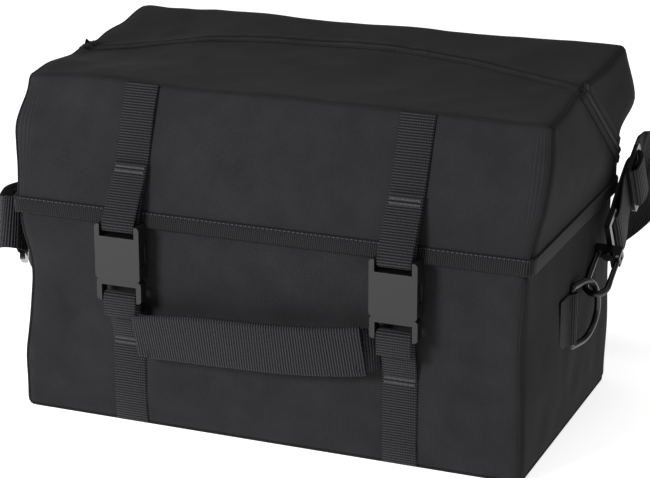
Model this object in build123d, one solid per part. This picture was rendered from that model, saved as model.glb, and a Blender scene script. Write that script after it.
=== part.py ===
from build123d import *
import os
from math import cos, hypot, radians, sin, sqrt

# A pannier bag: a box-shaped fabric body with a deep hood that opens from the back,
# held shut by two webbing straps with side-release buckles, and a zip across the hood.
# Millimetres. X runs across the bag, the front faces -Y, +Z is up.
# The origin is on the underside of the base, at its centre.

# ---- body -------------------------------------------------------------------
BODY_WIDTH = 374.0
BODY_DEPTH = 208.0
BODY_HEIGHT = 228.0
FABRIC = 2.0
PIPING_RADIUS = 1.6

# ---- stiffening boards ------------------------------------------------------
BACK_BOARD = 2.5
BASE_BOARD = 2.5
BOARD_MARGIN = 10.0

# ---- hood -------------------------------------------------------------------
HOOD_GAP = 1.0
HEM_HEIGHT = 148.0
HINGE_HEIGHT = 163.0
HOOD_FRONT_HEIGHT = 241.0
HOOD_BACK_HEIGHT = 255.0
HOOD_SETBACK = 33.0
BINDING_WIDTH = 11.0
BINDING = 0.8

# ---- zip --------------------------------------------------------------------
ZIP_SIDE_Y = 3.0
ZIP_MIDDLE_Y = 60.0
ZIP_END_HEIGHT = 175.0
ZIP_TAPE_WIDTH = 14.0
ZIP_COIL_WIDTH = 5.0
ZIP_COIL_HEIGHT = 2.0
ZIP_SLIDER_LENGTH = 11.0
ZIP_SLIDER_WALL = 1.6
ZIP_SLIDER_CLEARANCE = 0.4
ZIP_SLIDER_START = 16.0
ZIP_PULL_LENGTH = 24.0
ZIP_PULL_WIDTH = 7.0
ZIP_PULL = 1.6
ZIP_PIN_RADIUS = 0.9

# ---- closing straps and buckles ----------------------------------------------
STRAP_OFFSET = 101.0
STRAP_WIDTH = 25.0
WEBBING = 1.5
UPPER_TACK_HEIGHT = 185.0
LOWER_TACK_HEIGHT = 64.0
BUCKLE_SIDE = 4.5
BUCKLE_DEPTH = 11.0
BUCKLE_STANDOFF = 6.0
BUCKLE_RISE = 3.5
BUCKLE_BAR = 4.0
BUCKLE_SLOT = 4.6
SOCKET_HEIGHT = 39.5
SOCKET_WALL = 2.5
SOCKET_FACE = 1.8
PLUG_HEIGHT = 15.5
PLUG_DEPTH = 8.0
PRONG_LENGTH = 23.0
PRONG_WIDTH = 3.1
PRONG_GAP = 0.5
LATCH_SHOULDER = 10.0
GUIDE_LENGTH = 16.0

# ---- carry handle -----------------------------------------------------------
HANDLE_WIDTH = 38.0
HANDLE_HEIGHT = 80.0
HANDLE_THICKNESS = 4.0
HANDLE_STANDOFF = 18.0
HANDLE_MOVING_SHARE = 0.74
HANDLE_END_BOW = 14.4

# ---- side rings, snap hooks and shoulder strap --------------------------------
SHOULDER_WIDTH = 38.0
SHOULDER_WEBBING = 1.6
RING_Y = -11.0
RING_HEIGHT = 88.0
RING_WIRE = 2.25
RING_STRAIGHT = 14.0
RING_CLEARANCE = 0.3
TAB_LENGTH = 25.0
HOOK_WIRE = 2.2
HOOK_HALF_WIDTH = 8.0
HOOK_CROWN = 36.0
HOOK_CROWN_LENGTH = 6.0
GATE_WIRE = 2.0
GATE_HINGE = 32.5
GATE_PIN = 1.1
SWIVEL_STUD = 2.5
RUNNING_CLEARANCE = 0.06
EYE_BAR = 4.0
EYE_WINDOW = 9.6
SLIDER_LENGTH = 28.0
SLIDER_BAR = 3.0
SLIDER_MIDDLE_BAR = 5.0
SLIDER_THICKNESS = 3.0
SLIDER_REACH = 110.0

# ---- rack hooks on the back --------------------------------------------------
RACK_RAIL_WIDTH = 300.0
RACK_RAIL_HEIGHT = 30.0
RACK_RAIL = 4.0
RACK_RAIL_Z = 104.0
RACK_HOOK_OFFSET = 80.0
RACK_HOOK_WIDTH = 24.0
RACK_HOOK_WALL = 4.0
RACK_TUBE_RADIUS = 8.0
LATCH_WIDTH = 10.0
LATCH_PIN = 1.5
LATCH_HUB = 3.6
SCREW_RADIUS = 2.0
SCREW_HEAD = 4.0
SCREW_HEAD_HEIGHT = 2.2
WASHER_RADIUS = 6.0
WASHER = 1.2

# ---- lower anchor -----------------------------------------------------------
ANCHOR_HEIGHT = 58.0
ANCHOR_RADIUS = 14.0
ANCHOR_BASE = 5.0
ANCHOR_PIN = 3.0
ANCHOR_REACH = 30.0

# ---- derived ----------------------------------------------------------------
HALF_WIDTH = BODY_WIDTH / 2
HALF_DEPTH = BODY_DEPTH / 2
HOOD_HALF = HALF_WIDTH + HOOD_GAP + FABRIC
HOOD_HALF_DEPTH = HALF_DEPTH + HOOD_GAP + FABRIC
INNER_HALF = HOOD_HALF - FABRIC
SIDES = {"left": -1, "right": 1}


# ---- geometry helpers -------------------------------------------------------
def prism(points, low, high):
    """An outline of (y, z) points, extruded in X from low to high."""
    face = make_face(Polyline([(low, y, z) for y, z in points], close=True))
    return extrude(face, amount=high - low, dir=(1, 0, 0))


def block(low, high):
    """A box from its lowest corner to its highest."""
    size = [h - l for l, h in zip(low, high)]
    centre = [(h + l) / 2 for l, h in zip(low, high)]
    return Pos(*centre) * Box(*size)


def rod(start, end, radius):
    """A straight round bar between two points."""
    axis = Vector(*end) - Vector(*start)
    return extrude(Plane(Vector(*start), z_dir=axis) * Circle(radius), amount=axis.length)


def shifted(start, end, distance):
    """A line in YZ moved sideways, to its right when looking from start to end."""
    dy, dz = end[0] - start[0], end[1] - start[1]
    length = hypot(dy, dz)
    step = (dz / length * distance, -dy / length * distance)
    return [(y + step[0], z + step[1]) for y, z in (start, end)]


def at_height(line, z):
    """The point of a line in YZ at height z."""
    (y0, z0), (y1, z1) = line
    return (y0 + (y1 - y0) * (z - z0) / (z1 - z0), z)


def at_depth(line, y):
    """The point of a line in YZ at depth y."""
    (y0, z0), (y1, z1) = line
    return (y, z0 + (z1 - z0) * (y - y0) / (y1 - y0))


def crossing(first, second):
    """Where two lines in YZ cross."""
    (ay, az), (by, bz) = first
    (cy, cz), (dy, dz) = second
    det = (by - ay) * (dz - cz) - (bz - az) * (dy - cy)
    t = ((cy - ay) * (dz - cz) - (cz - az) * (dy - cy)) / det
    return (ay + t * (by - ay), az + t * (bz - az))


def band(path, thickness, low, high):
    """Webbing that follows a path of (y, z) points, flat in X from low to high."""
    pen = trace(path, thickness)
    frame = Plane(origin=(low, 0, 0), x_dir=(0, 1, 0), z_dir=(1, 0, 0))
    return extrude(frame * pen, amount=high - low)


def solids_of(shapes):
    """Several separate shapes as one part of many solids."""
    return Compound([solid for shape in shapes for solid in shape.solids()])


def save(name, shape):
    export_step(shape, f"parts/{name}.step")


# ---- the hood's and the body's outlines in the YZ plane -----------------------
HEM_FRONT = (-HOOD_HALF_DEPTH, HEM_HEIGHT)
TOP_FRONT = (-HOOD_HALF_DEPTH + HOOD_SETBACK, HOOD_FRONT_HEIGHT)
TOP_BACK = (HOOD_HALF_DEPTH, HOOD_BACK_HEIGHT)
HEM_BACK = (HOOD_HALF_DEPTH, HEM_HEIGHT)
FRONT_LINE = [HEM_FRONT, TOP_FRONT]
TOP_LINE = [TOP_FRONT, TOP_BACK]
INNER_FRONT = shifted(*FRONT_LINE, FABRIC)
INNER_TOP = shifted(*TOP_LINE, FABRIC)
BODY_SLOPE = shifted(*FRONT_LINE, FABRIC + HOOD_GAP)


def body_panels():
    """Front, back, base and two gussets, sewn edge to edge; the top is open."""
    slope_in = shifted(*BODY_SLOPE, FABRIC)
    kink = at_depth(BODY_SLOPE, -HALF_DEPTH)
    kink_in = at_depth(slope_in, -HALF_DEPTH + FABRIC)
    rim = at_height(BODY_SLOPE, BODY_HEIGHT)
    rim_in = at_height(slope_in, BODY_HEIGHT)
    front_in, back_in = -HALF_DEPTH + FABRIC, HALF_DEPTH - FABRIC
    save("base_panel", block((-HALF_WIDTH, -HALF_DEPTH, 0), (HALF_WIDTH, HALF_DEPTH, FABRIC)))
    front = [(-HALF_DEPTH, FABRIC), kink, rim, rim_in, kink_in, (front_in, FABRIC)]
    save("front_panel", prism(front, -HALF_WIDTH, HALF_WIDTH))
    back = block((-HALF_WIDTH, back_in, FABRIC), (HALF_WIDTH, HALF_DEPTH, BODY_HEIGHT))
    save("back_panel", back - back_holes())
    gusset = [(front_in, FABRIC), kink_in, rim_in, (back_in, BODY_HEIGHT), (back_in, FABRIC)]
    piping = []
    for name, side in SIDES.items():
        low, high = sorted((side * HALF_WIDTH, side * (HALF_WIDTH - FABRIC)))
        save(f"gusset_{name}", prism(gusset, low, high))
        offset = PIPING_RADIUS / sqrt(2) + RING_CLEARANCE / 2
        corner = (side * (HALF_WIDTH + offset), -HALF_DEPTH - offset)
        top = HEM_HEIGHT - 2 * PIPING_RADIUS
        piping.append(rod((*corner, FABRIC), (*corner, top), PIPING_RADIUS))
    save("corner_piping", solids_of(piping))


def boards():
    """Plastic sheets that keep the back and the base flat."""
    half = HALF_WIDTH - FABRIC - BOARD_MARGIN
    back = HALF_DEPTH - FABRIC
    bottom = FABRIC + BASE_BOARD
    board = block((-half, back - BACK_BOARD, bottom + 1), (half, back, BODY_HEIGHT - BOARD_MARGIN))
    save("back_board", board - back_holes())
    depth = HALF_DEPTH - FABRIC - BOARD_MARGIN
    save("base_board", block((-half, -depth, FABRIC), (half, depth, bottom)))


def hood_panels():
    """The hood's panels, divided by the zip into a front part and a rear part."""
    low, high = -INNER_HALF, INNER_HALF
    top_front_in = crossing(INNER_FRONT, INNER_TOP)
    inner_back = [(HOOD_HALF_DEPTH - FABRIC, HEM_HEIGHT), (HOOD_HALF_DEPTH - FABRIC, HOOD_BACK_HEIGHT)]
    top_back_in = crossing(INNER_TOP, inner_back)
    hem_in = at_height(INNER_FRONT, HEM_HEIGHT)
    save("hood_front", prism([HEM_FRONT, TOP_FRONT, top_front_in, hem_in], low, high))
    back_foot = HINGE_HEIGHT + HOOD_GAP
    back = [TOP_BACK, (HOOD_HALF_DEPTH, back_foot), (HOOD_HALF_DEPTH - FABRIC, back_foot), top_back_in]
    save("hood_back", prism(back, low, high))
    top = prism([TOP_FRONT, TOP_BACK, top_back_in, top_front_in], low, high)
    side_outline = [HEM_FRONT, TOP_FRONT, TOP_BACK, HEM_BACK]
    ring_out, ring_in = zip_cylinder(ZIP_TAPE_WIDTH / 2), zip_cylinder(-ZIP_TAPE_WIDTH / 2)
    save("hood_top_front", top & ring_in)
    save("hood_top_rear", top - ring_out)
    tape = top & (ring_out - ring_in)
    rear_corners = []
    for name, side in SIDES.items():
        wall = prism(side_outline, *sorted((side * INNER_HALF, side * HOOD_HALF)))
        above, below = zip_side_cut(ZIP_TAPE_WIDTH / 2), zip_side_cut(-ZIP_TAPE_WIDTH / 2)
        save(f"hood_side_{name}", wall - below)
        rear_corners.append(wall & above)
        tape += (wall & below) - above
    save("hood_rear_corners", solids_of(rear_corners))
    save("zip_tape", tape)


def zip_cylinder(growth):
    """An upright cylinder whose wall is the zip's arc on the top, grown by a distance."""
    rise = ZIP_MIDDLE_Y - ZIP_SIDE_Y
    radius = (HOOD_HALF**2 + rise**2) / (2 * rise)
    centre = ZIP_MIDDLE_Y - radius
    height = HOOD_BACK_HEIGHT
    return Pos(0, centre, height) * Cylinder(radius + growth, height)


def zip_side_line():
    """The zip's straight run on a side wall, from its lower end to the top edge."""
    return [(HOOD_HALF_DEPTH, ZIP_END_HEIGHT), at_depth(TOP_LINE, ZIP_SIDE_Y)]


def zip_side_cut(growth):
    """Everything behind and above the zip's run on the sides, moved by a distance."""
    low, high = shifted(*zip_side_line(), growth)
    reach = HOOD_BACK_HEIGHT
    run = hypot(high[0] - low[0], high[1] - low[1])
    along = ((high[0] - low[0]) / run, (high[1] - low[1]) / run)
    start = (low[0] - along[0] * reach, low[1] - along[1] * reach)
    end = (high[0] + along[0] * reach, high[1] + along[1] * reach)
    far_low, far_high = shifted(start, end, reach)
    return prism([start, end, far_high, far_low], -2 * HOOD_HALF, 2 * HOOD_HALF)


def hood_trim():
    """The woven binding over the hem, and the zip's coil along its whole run."""
    top = HEM_HEIGHT + BINDING_WIDTH
    front_out = shifted(*FRONT_LINE, -BINDING)
    strip = [at_height(FRONT_LINE, HEM_HEIGHT), at_height(FRONT_LINE, top)]
    strip += [at_height(front_out, top), at_height(front_out, HEM_HEIGHT)]
    binding = prism(strip, -HOOD_HALF, HOOD_HALF)
    for side in SIDES.values():
        low, high = sorted((side * HOOD_HALF, side * (HOOD_HALF + BINDING)))
        outline = [at_height(front_out, HEM_HEIGHT), at_height(front_out, top)]
        outline += [(HOOD_HALF_DEPTH, top), (HOOD_HALF_DEPTH, HEM_HEIGHT)]
        binding += prism(outline, low, high)
    save("hem_binding", binding)
    half = ZIP_COIL_WIDTH / 2
    crest = shifted(*TOP_LINE, -ZIP_COIL_HEIGHT)
    slab = prism([*TOP_LINE, *reversed(crest)], -HOOD_HALF, HOOD_HALF)
    coil = slab & (zip_cylinder(half) - zip_cylinder(-half))
    run = zip_side_cut(-half) - zip_side_cut(half)
    below_crest = [(-HALF_DEPTH, 0), *crest, (HOOD_HALF_DEPTH, 0)]
    for side in SIDES.values():
        low, high = sorted((side * HOOD_HALF, side * (HOOD_HALF + ZIP_COIL_HEIGHT)))
        coil += run & prism(below_crest, low, high)
    save("zip_coil", coil)


def zip_slider_plane():
    """On the left wall at the slider: x up the zip, z out of the wall, y across the zip."""
    low, high = zip_side_line()
    run = hypot(high[0] - low[0], high[1] - low[1])
    along = ((high[0] - low[0]) / run, (high[1] - low[1]) / run)
    start = (low[0] + along[0] * ZIP_SLIDER_START, low[1] + along[1] * ZIP_SLIDER_START)
    return Plane(origin=(-HOOD_HALF, *start), x_dir=(0, *along), z_dir=(-1, 0, 0))


def zip_parts():
    """The slider that runs on the coil, and the pull tab on its cross pin."""
    half = ZIP_COIL_WIDTH / 2 + ZIP_SLIDER_CLEARANCE
    inner = ZIP_COIL_HEIGHT + ZIP_SLIDER_CLEARANCE
    roof = inner + ZIP_SLIDER_WALL
    length, gap = ZIP_SLIDER_LENGTH / 2, ZIP_SLIDER_CLEARANCE
    outer = half + ZIP_SLIDER_WALL
    slider = block((-length, -outer, gap), (length, outer, roof))
    slider = fillet(slider.edges().filter_by(Axis.Z), ZIP_SLIDER_WALL)
    slider -= block((-length - 1, -half, 0), (length + 1, half, inner))
    pin_z = roof + 2 * ZIP_PIN_RADIUS + ZIP_SLIDER_CLEARANCE
    ear_half = ZIP_PULL_WIDTH / 4 + ZIP_SLIDER_CLEARANCE
    for side in SIDES.values():
        low, high = sorted((side * ear_half, side * (ear_half + ZIP_PIN_RADIUS)))
        ear = 1.5 * ZIP_PIN_RADIUS
        slider += block((-ear, low, roof), (ear, high, pin_z + ear))
    slider += rod((0, -ear_half, pin_z), (0, ear_half, pin_z), ZIP_PIN_RADIUS)
    plane = zip_slider_plane()
    save("zip_slider", plane.location * slider)
    bore = ZIP_PIN_RADIUS + RUNNING_CLEARANCE
    hub = ZIP_PULL_WIDTH / 4
    pull = rod((0, -hub, pin_z), (0, hub, pin_z), bore + ZIP_PULL / 2)
    pull += block((-ZIP_PULL_LENGTH / 3, -hub, pin_z), (0, hub, pin_z + ZIP_PULL))
    tab_low = (-ZIP_PULL_LENGTH, -ZIP_PULL_WIDTH / 2, pin_z)
    pull += block(tab_low, (-ZIP_PULL_LENGTH / 4, ZIP_PULL_WIDTH / 2, pin_z + ZIP_PULL))
    pull -= rod((0, -ZIP_PULL_WIDTH, pin_z), (0, ZIP_PULL_WIDTH, pin_z), bore)
    save("zip_pull", plane.location * pull)


# ---- closing straps, buckles and handle ----------------------------------------
BUCKLE_TOP = HEM_HEIGHT + BUCKLE_RISE
BUCKLE_HALF = STRAP_WIDTH / 2 + BUCKLE_SIDE
BUCKLE_BACK = -HOOD_HALF_DEPTH - BUCKLE_STANDOFF + 2 * WEBBING
BUCKLE_Y = BUCKLE_BACK - BUCKLE_DEPTH / 2
SOCKET_FOOT = BUCKLE_TOP - SOCKET_HEIGHT
PLUG_TOP = SOCKET_FOOT - PRONG_GAP
PRONG_X = BUCKLE_HALF - SOCKET_WALL - PRONG_WIDTH / 2 - PRONG_GAP
PRONG_PIVOT = PLUG_TOP + PRONG_WIDTH / 2 + RING_CLEARANCE
SLOT_HALF = STRAP_WIDTH / 2 + 0.7


def socket(x):
    """The buckle's female half: a strap bar on top and a hollow that takes the prongs."""
    half, depth = BUCKLE_HALF, BUCKLE_DEPTH / 2
    low, high = (x - half, BUCKLE_Y - depth, SOCKET_FOOT), (x + half, BUCKLE_Y + depth, BUCKLE_TOP)
    body = fillet(block(low, high).edges().filter_by(Axis.Y), SOCKET_WALL)
    slot_top = BUCKLE_TOP - BUCKLE_BAR
    slot_foot = slot_top - BUCKLE_SLOT
    reach = BUCKLE_DEPTH
    body -= block((x - SLOT_HALF, BUCKLE_Y - reach, slot_foot), (x + SLOT_HALF, BUCKLE_Y + reach, slot_top))
    for face in (-1, 1):
        y_low, y_high = sorted((BUCKLE_Y + face * BUCKLE_BAR / 2, BUCKLE_Y + face * reach))
        body -= block((x - SLOT_HALF, y_low, slot_foot), (x + SLOT_HALF, y_high, BUCKLE_TOP + 1))
    inside = depth - SOCKET_FACE
    cavity = half - SOCKET_WALL
    cavity_top = PRONG_PIVOT + PRONG_LENGTH + 2 * PRONG_GAP
    body -= block((x - cavity, BUCKLE_Y - inside, SOCKET_FOOT - 1), (x + cavity, BUCKLE_Y + inside, cavity_top))
    window_foot = PRONG_PIVOT + LATCH_SHOULDER - PRONG_GAP
    window_top = cavity_top - 2 * PRONG_GAP
    body -= block((x - 2 * half, BUCKLE_Y - inside, window_foot), (x + 2 * half, BUCKLE_Y + inside, window_top))
    return body


def plug(x):
    """The buckle's male half: a toothed strap bar, a guide tongue and the prongs' root."""
    half, depth = BUCKLE_HALF, PLUG_DEPTH / 2
    foot = PLUG_TOP - PLUG_HEIGHT
    frame = block((x - half, BUCKLE_Y - depth, foot), (x + half, BUCKLE_Y + depth, PLUG_TOP))
    frame = fillet(frame.edges().filter_by(Axis.Y), SOCKET_WALL)
    window = (foot + BUCKLE_BAR, PLUG_TOP - BUCKLE_BAR)
    reach = BUCKLE_DEPTH
    frame -= block((x - SLOT_HALF, BUCKLE_Y - reach, window[0]), (x + SLOT_HALF, BUCKLE_Y + reach, window[1]))
    bar = BUCKLE_BAR / 2
    for face in (-1, 1):
        y_low, y_high = sorted((BUCKLE_Y + face * bar, BUCKLE_Y + face * reach))
        frame -= block((x - SLOT_HALF, y_low, foot - 1), (x + SLOT_HALF, y_high, window[1]))
    guide = (BUCKLE_BAR, BUCKLE_BAR / 2)
    frame += block((x - guide[0], BUCKLE_Y - guide[1], PLUG_TOP),
                   (x + guide[0], BUCKLE_Y + guide[1], PLUG_TOP + GUIDE_LENGTH))
    return frame


def prong(x, side):
    """A sprung side prong: a round root, a straight arm and a button with a shoulder."""
    centre, half = x + side * PRONG_X, PRONG_WIDTH / 2
    inside = BUCKLE_DEPTH / 2 - SOCKET_FACE - PRONG_GAP
    outer = x + side * (BUCKLE_HALF - PRONG_GAP)
    tip = PRONG_PIVOT + PRONG_LENGTH
    shoulder = PRONG_PIVOT + LATCH_SHOULDER
    outline = [
        (centre - side * half, PRONG_PIVOT),
        (centre + side * half, PRONG_PIVOT),
        (centre + side * half, shoulder),
        (outer, shoulder),
        (outer, shoulder + BUCKLE_BAR),
        (centre + side * half, tip),
        (centre - side * half, tip),
    ]
    face = make_face(Polyline([(px, BUCKLE_Y - inside, pz) for px, pz in outline], close=True))
    arm = extrude(face, amount=2 * inside, dir=(0, 1, 0))
    return arm + rod((centre, BUCKLE_Y - inside, PRONG_PIVOT), (centre, BUCKLE_Y + inside, PRONG_PIVOT), half)


def closing_straps():
    """On each side a strap on the hood with the socket, and a strap below with the plug."""
    half = STRAP_WIDTH / 2
    skin = shifted(*FRONT_LINE, -WEBBING / 2)
    around = BUCKLE_BAR / 2 + WEBBING / 2 + PRONG_GAP
    bar_top, bar_foot = BUCKLE_TOP, BUCKLE_TOP - BUCKLE_BAR
    double = shifted(*FRONT_LINE, -2.4 * WEBBING)
    upper = FilletPolyline(
        at_height(skin, HOOD_FRONT_HEIGHT),
        at_height(skin, UPPER_TACK_HEIGHT),
        (BUCKLE_Y + around, bar_top),
        (BUCKLE_Y + around, bar_foot - WEBBING),
        (BUCKLE_Y - around, bar_foot - WEBBING),
        (BUCKLE_Y - around, bar_top + WEBBING),
        at_height(double, UPPER_TACK_HEIGHT - WEBBING),
        radius=WEBBING,
    )
    foot = PLUG_TOP - PLUG_HEIGHT
    wall = -HALF_DEPTH - WEBBING / 2
    window = foot + BUCKLE_BAR + WEBBING
    lower = FilletPolyline(
        (wall, FABRIC),
        (wall, LOWER_TACK_HEIGHT),
        (BUCKLE_Y + around, foot - WEBBING),
        (BUCKLE_Y + around, window),
        (BUCKLE_Y - around, window),
        (BUCKLE_Y - around, foot - 2 * WEBBING),
        radius=WEBBING,
    )
    for name, side in SIDES.items():
        x = side * STRAP_OFFSET
        save(f"upper_strap_{name}", band(upper, WEBBING, x - half, x + half))
        save(f"lower_strap_{name}", band(lower, WEBBING, x - half, x + half))
        save(f"buckle_socket_{name}", socket(x))
        save(f"buckle_plug_{name}", plug(x))
        for edge, way in (("outer", side), ("inner", -side)):
            save(f"buckle_prong_{name}_{edge}", prong(x, way))


def carry_handle():
    """A grab handle of folded webbing: a bowed grip between two sewn-down ends."""
    half = STRAP_OFFSET - STRAP_WIDTH / 2 - 2 * PRONG_GAP
    wall = -HALF_DEPTH - HANDLE_THICKNESS / 2
    grip_half = half * HANDLE_MOVING_SHARE
    low = HANDLE_HEIGHT - HANDLE_WIDTH / 2
    shoulder = (grip_half, wall - HANDLE_END_BOW)
    crest = (0, wall - HANDLE_STANDOFF)
    arc = ThreePointArc((-shoulder[0], shoulder[1]), crest, shoulder)
    grip = Plane.XY.offset(low) * trace(arc, HANDLE_THICKNESS)
    save("handle_grip", extrude(grip, amount=HANDLE_WIDTH))
    clear = block((-grip_half - RING_CLEARANCE, -BODY_DEPTH, 0), (grip_half + RING_CLEARANCE, 0, HEM_HEIGHT))
    ends = []
    for side in SIDES.values():
        path = FilletPolyline(
            (side * half, wall),
            (side * (half - STRAP_WIDTH / 4), wall),
            (side * grip_half, shoulder[1]),
            (side * (grip_half - HANDLE_THICKNESS), shoulder[1]),
            radius=HANDLE_THICKNESS / 2,
        )
        end = extrude(Plane.XY.offset(low) * trace(path, HANDLE_THICKNESS), amount=HANDLE_WIDTH)
        ends.append(end - clear)
    save("handle_ends", solids_of(ends))


# ---- side rings, snap hooks and shoulder strap ---------------------------------
RING_HALF = SHOULDER_WIDTH / 2 + 3.0
RING_BAR_X = HALF_WIDTH + RING_WIRE + RING_CLEARANCE + SHOULDER_WEBBING
# On each side: how far the ring has swung from pointing back, where on its bow the hook
# pulls, the hook's direction, and how loosely its nose sits on the ring's wire.
RING_SWING = {"right": 15.0, "left": 120.0}
RING_PULL = {"right": 33.0, "left": 25.0}
HOOK_WAY = {"right": (0.03, 0.84, 0.542), "left": (0.33, -0.80, 0.50)}
HOOK_SLACK = {"right": 0.3, "left": 1.2}


def ring_plane(name):
    """Local x points from the bar to the bow, local y is up along the bar."""
    side, swing = SIDES[name], radians(RING_SWING[name])
    bow = (side * sin(swing), cos(swing), 0)
    origin = (side * RING_BAR_X, RING_Y, RING_HEIGHT)
    return Plane(origin=origin, x_dir=bow, z_dir=(bow[1], -bow[0], 0))


def rings():
    """Wire D-rings, each with its straight bar in a folded webbing tab."""
    tabs = []
    for name, side in SIDES.items():
        h, s = RING_HALF, RING_STRAIGHT
        path = FilletPolyline((0, -h), (s + h, -h), (s + h, h), (0, h),
                              radius=[RING_WIRE * 1.5, h - 0.01, h - 0.01, RING_WIRE * 1.5], close=True)
        wire = sweep(Plane(path @ 0, z_dir=path % 0) * Circle(RING_WIRE), path=path)
        save(f"d_ring_{name}", ring_plane(name).location * wire)
        x = side * RING_BAR_X
        bore = RING_WIRE + RING_CLEARANCE
        low, high = RING_HEIGHT - SHOULDER_WIDTH / 2, RING_HEIGHT + SHOULDER_WIDTH / 2
        tab = rod((x, RING_Y, low), (x, RING_Y, high), bore + SHOULDER_WEBBING)
        near, far = sorted((side * HALF_WIDTH, side * (HALF_WIDTH + 2 * SHOULDER_WEBBING)))
        tab += block((near, RING_Y - TAB_LENGTH, low), (far, RING_Y, high))
        tab -= rod((x, RING_Y, low - 1), (x, RING_Y, high + 1), bore)
        tabs.append(tab)
    save("ring_tabs", solids_of(tabs))


def hook_plane(name):
    """Local x runs from the ring to the strap, local y across the hook, outwards."""
    angle = radians(RING_PULL[name])
    reach = RING_STRAIGHT + RING_HALF * cos(angle)
    pull = ring_plane(name).from_local_coords(Vector(reach, RING_HALF * sin(angle)))
    way = Vector(*HOOK_WAY[name]).normalized()
    across = Vector(SIDES[name], 0, 0)
    if name == "left":
        across = Vector(0, 0, 1).cross(way)
    normal = way.cross(across).normalized()
    seat = 2 * RING_WIRE + HOOK_SLACK[name]
    return Plane(origin=pull - way * seat, x_dir=way, z_dir=normal)


def snap_hooks():
    """Swivel snap hooks: a J-shaped wire with a crown, a sprung gate and a strap eye."""
    w, crown = HOOK_HALF_WIDTH, HOOK_CROWN
    tip = w + 2 * HOOK_WIRE
    for name in SIDES:
        plane = hook_plane(name)
        path = FilletPolyline((crown + 1, -w), (0, -w), (0, w), (tip, w), radius=w - 0.01)
        hook = sweep(Plane(path @ 0, z_dir=path % 0) * Circle(HOOK_WIRE), path=path)
        thick = HOOK_WIRE + GATE_WIRE
        head = block((crown, -w - HOOK_WIRE, -thick), (crown + HOOK_CROWN_LENGTH, w + HOOK_WIRE, thick))
        hook += fillet(head.edges().filter_by(Axis.Z), HOOK_WIRE)
        hub = GATE_WIRE + RING_CLEARANCE
        for face in (-1, 1):
            near, far = sorted((face * hub, face * thick))
            hook += block((GATE_HINGE - hub, w - hub, near), (crown + 1, w + HOOK_WIRE, far))
        stud_bore = SWIVEL_STUD + RUNNING_CLEARANCE
        hook -= rod((crown - 1, 0, 0), (crown + HOOK_CROWN_LENGTH + 1, 0, 0), stud_bore)
        hook -= rod((GATE_HINGE, w, -thick), (GATE_HINGE, w, thick), GATE_PIN)
        save(f"snap_hook_{name}", plane.location * hook)
        pin = rod((GATE_HINGE, w, -thick), (GATE_HINGE, w, thick), GATE_PIN)
        save(f"gate_pin_{name}", plane.location * pin)
        gate = rod((tip + RING_CLEARANCE, w, 0), (GATE_HINGE, w, 0), GATE_WIRE)
        hub_half = GATE_WIRE + RING_CLEARANCE / 2
        gate += rod((GATE_HINGE, w, -hub_half), (GATE_HINGE, w, hub_half), hub)
        gate -= rod((GATE_HINGE, w, -thick), (GATE_HINGE, w, thick), GATE_PIN + RUNNING_CLEARANCE)
        save(f"hook_gate_{name}", plane.location * gate)
        save(f"swivel_eye_{name}", hook_plane(name).location * swivel_eye())


EYE_BASE = HOOK_CROWN + HOOK_CROWN_LENGTH + RING_CLEARANCE
EYE_BAR_X = EYE_BASE + EYE_BAR + EYE_WINDOW


def swivel_eye():
    """A flat loop for the webbing, on a riveted stud that turns in the hook's crown."""
    half = SHOULDER_WIDTH / 2 + 1
    bar = EYE_BAR / 2
    eye = block((EYE_BASE, -bar, -half - EYE_BAR), (EYE_BAR_X + EYE_BAR, bar, half + EYE_BAR))
    eye = fillet(eye.edges().filter_by(Axis.Y), EYE_BAR / 2)
    eye -= block((EYE_BASE + EYE_BAR, -EYE_BAR, -half), (EYE_BAR_X, EYE_BAR, half))
    head = HOOK_CROWN - RING_CLEARANCE
    eye += rod((head, 0, 0), (EYE_BASE + 1, 0, 0), SWIVEL_STUD)
    return eye + rod((head - SWIVEL_STUD, 0, 0), (head, 0, 0), 1.5 * SWIVEL_STUD)


def strap_slider():
    """The three-bar slider on the right-hand end of the shoulder strap."""
    half, length = SHOULDER_WIDTH / 2 + 1, SLIDER_LENGTH / 2
    thick, middle = SLIDER_THICKNESS / 2, SLIDER_MIDDLE_BAR / 2
    x = SLIDER_REACH
    plate = block((x - length, -thick, -half - EYE_BAR), (x + length, thick, half + EYE_BAR))
    plate = fillet(plate.edges().filter_by(Axis.Y), EYE_BAR)
    for way in (-1, 1):
        near, far = sorted((x + way * middle, x + way * (length - SLIDER_BAR)))
        plate -= block((near, -SLIDER_THICKNESS, -half), (far, SLIDER_THICKNESS, half))
    return plate


def flat_webbing(plane, points):
    """Shoulder webbing that follows a path in a plane's x and y, centred on its z."""
    pen = trace(FilletPolyline(*points, radius=0.9 * SHOULDER_WEBBING), SHOULDER_WEBBING)
    strip = Pos(0, 0, -SHOULDER_WIDTH / 2) * extrude(pen, amount=SHOULDER_WIDTH)
    return plane.location * strip


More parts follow.
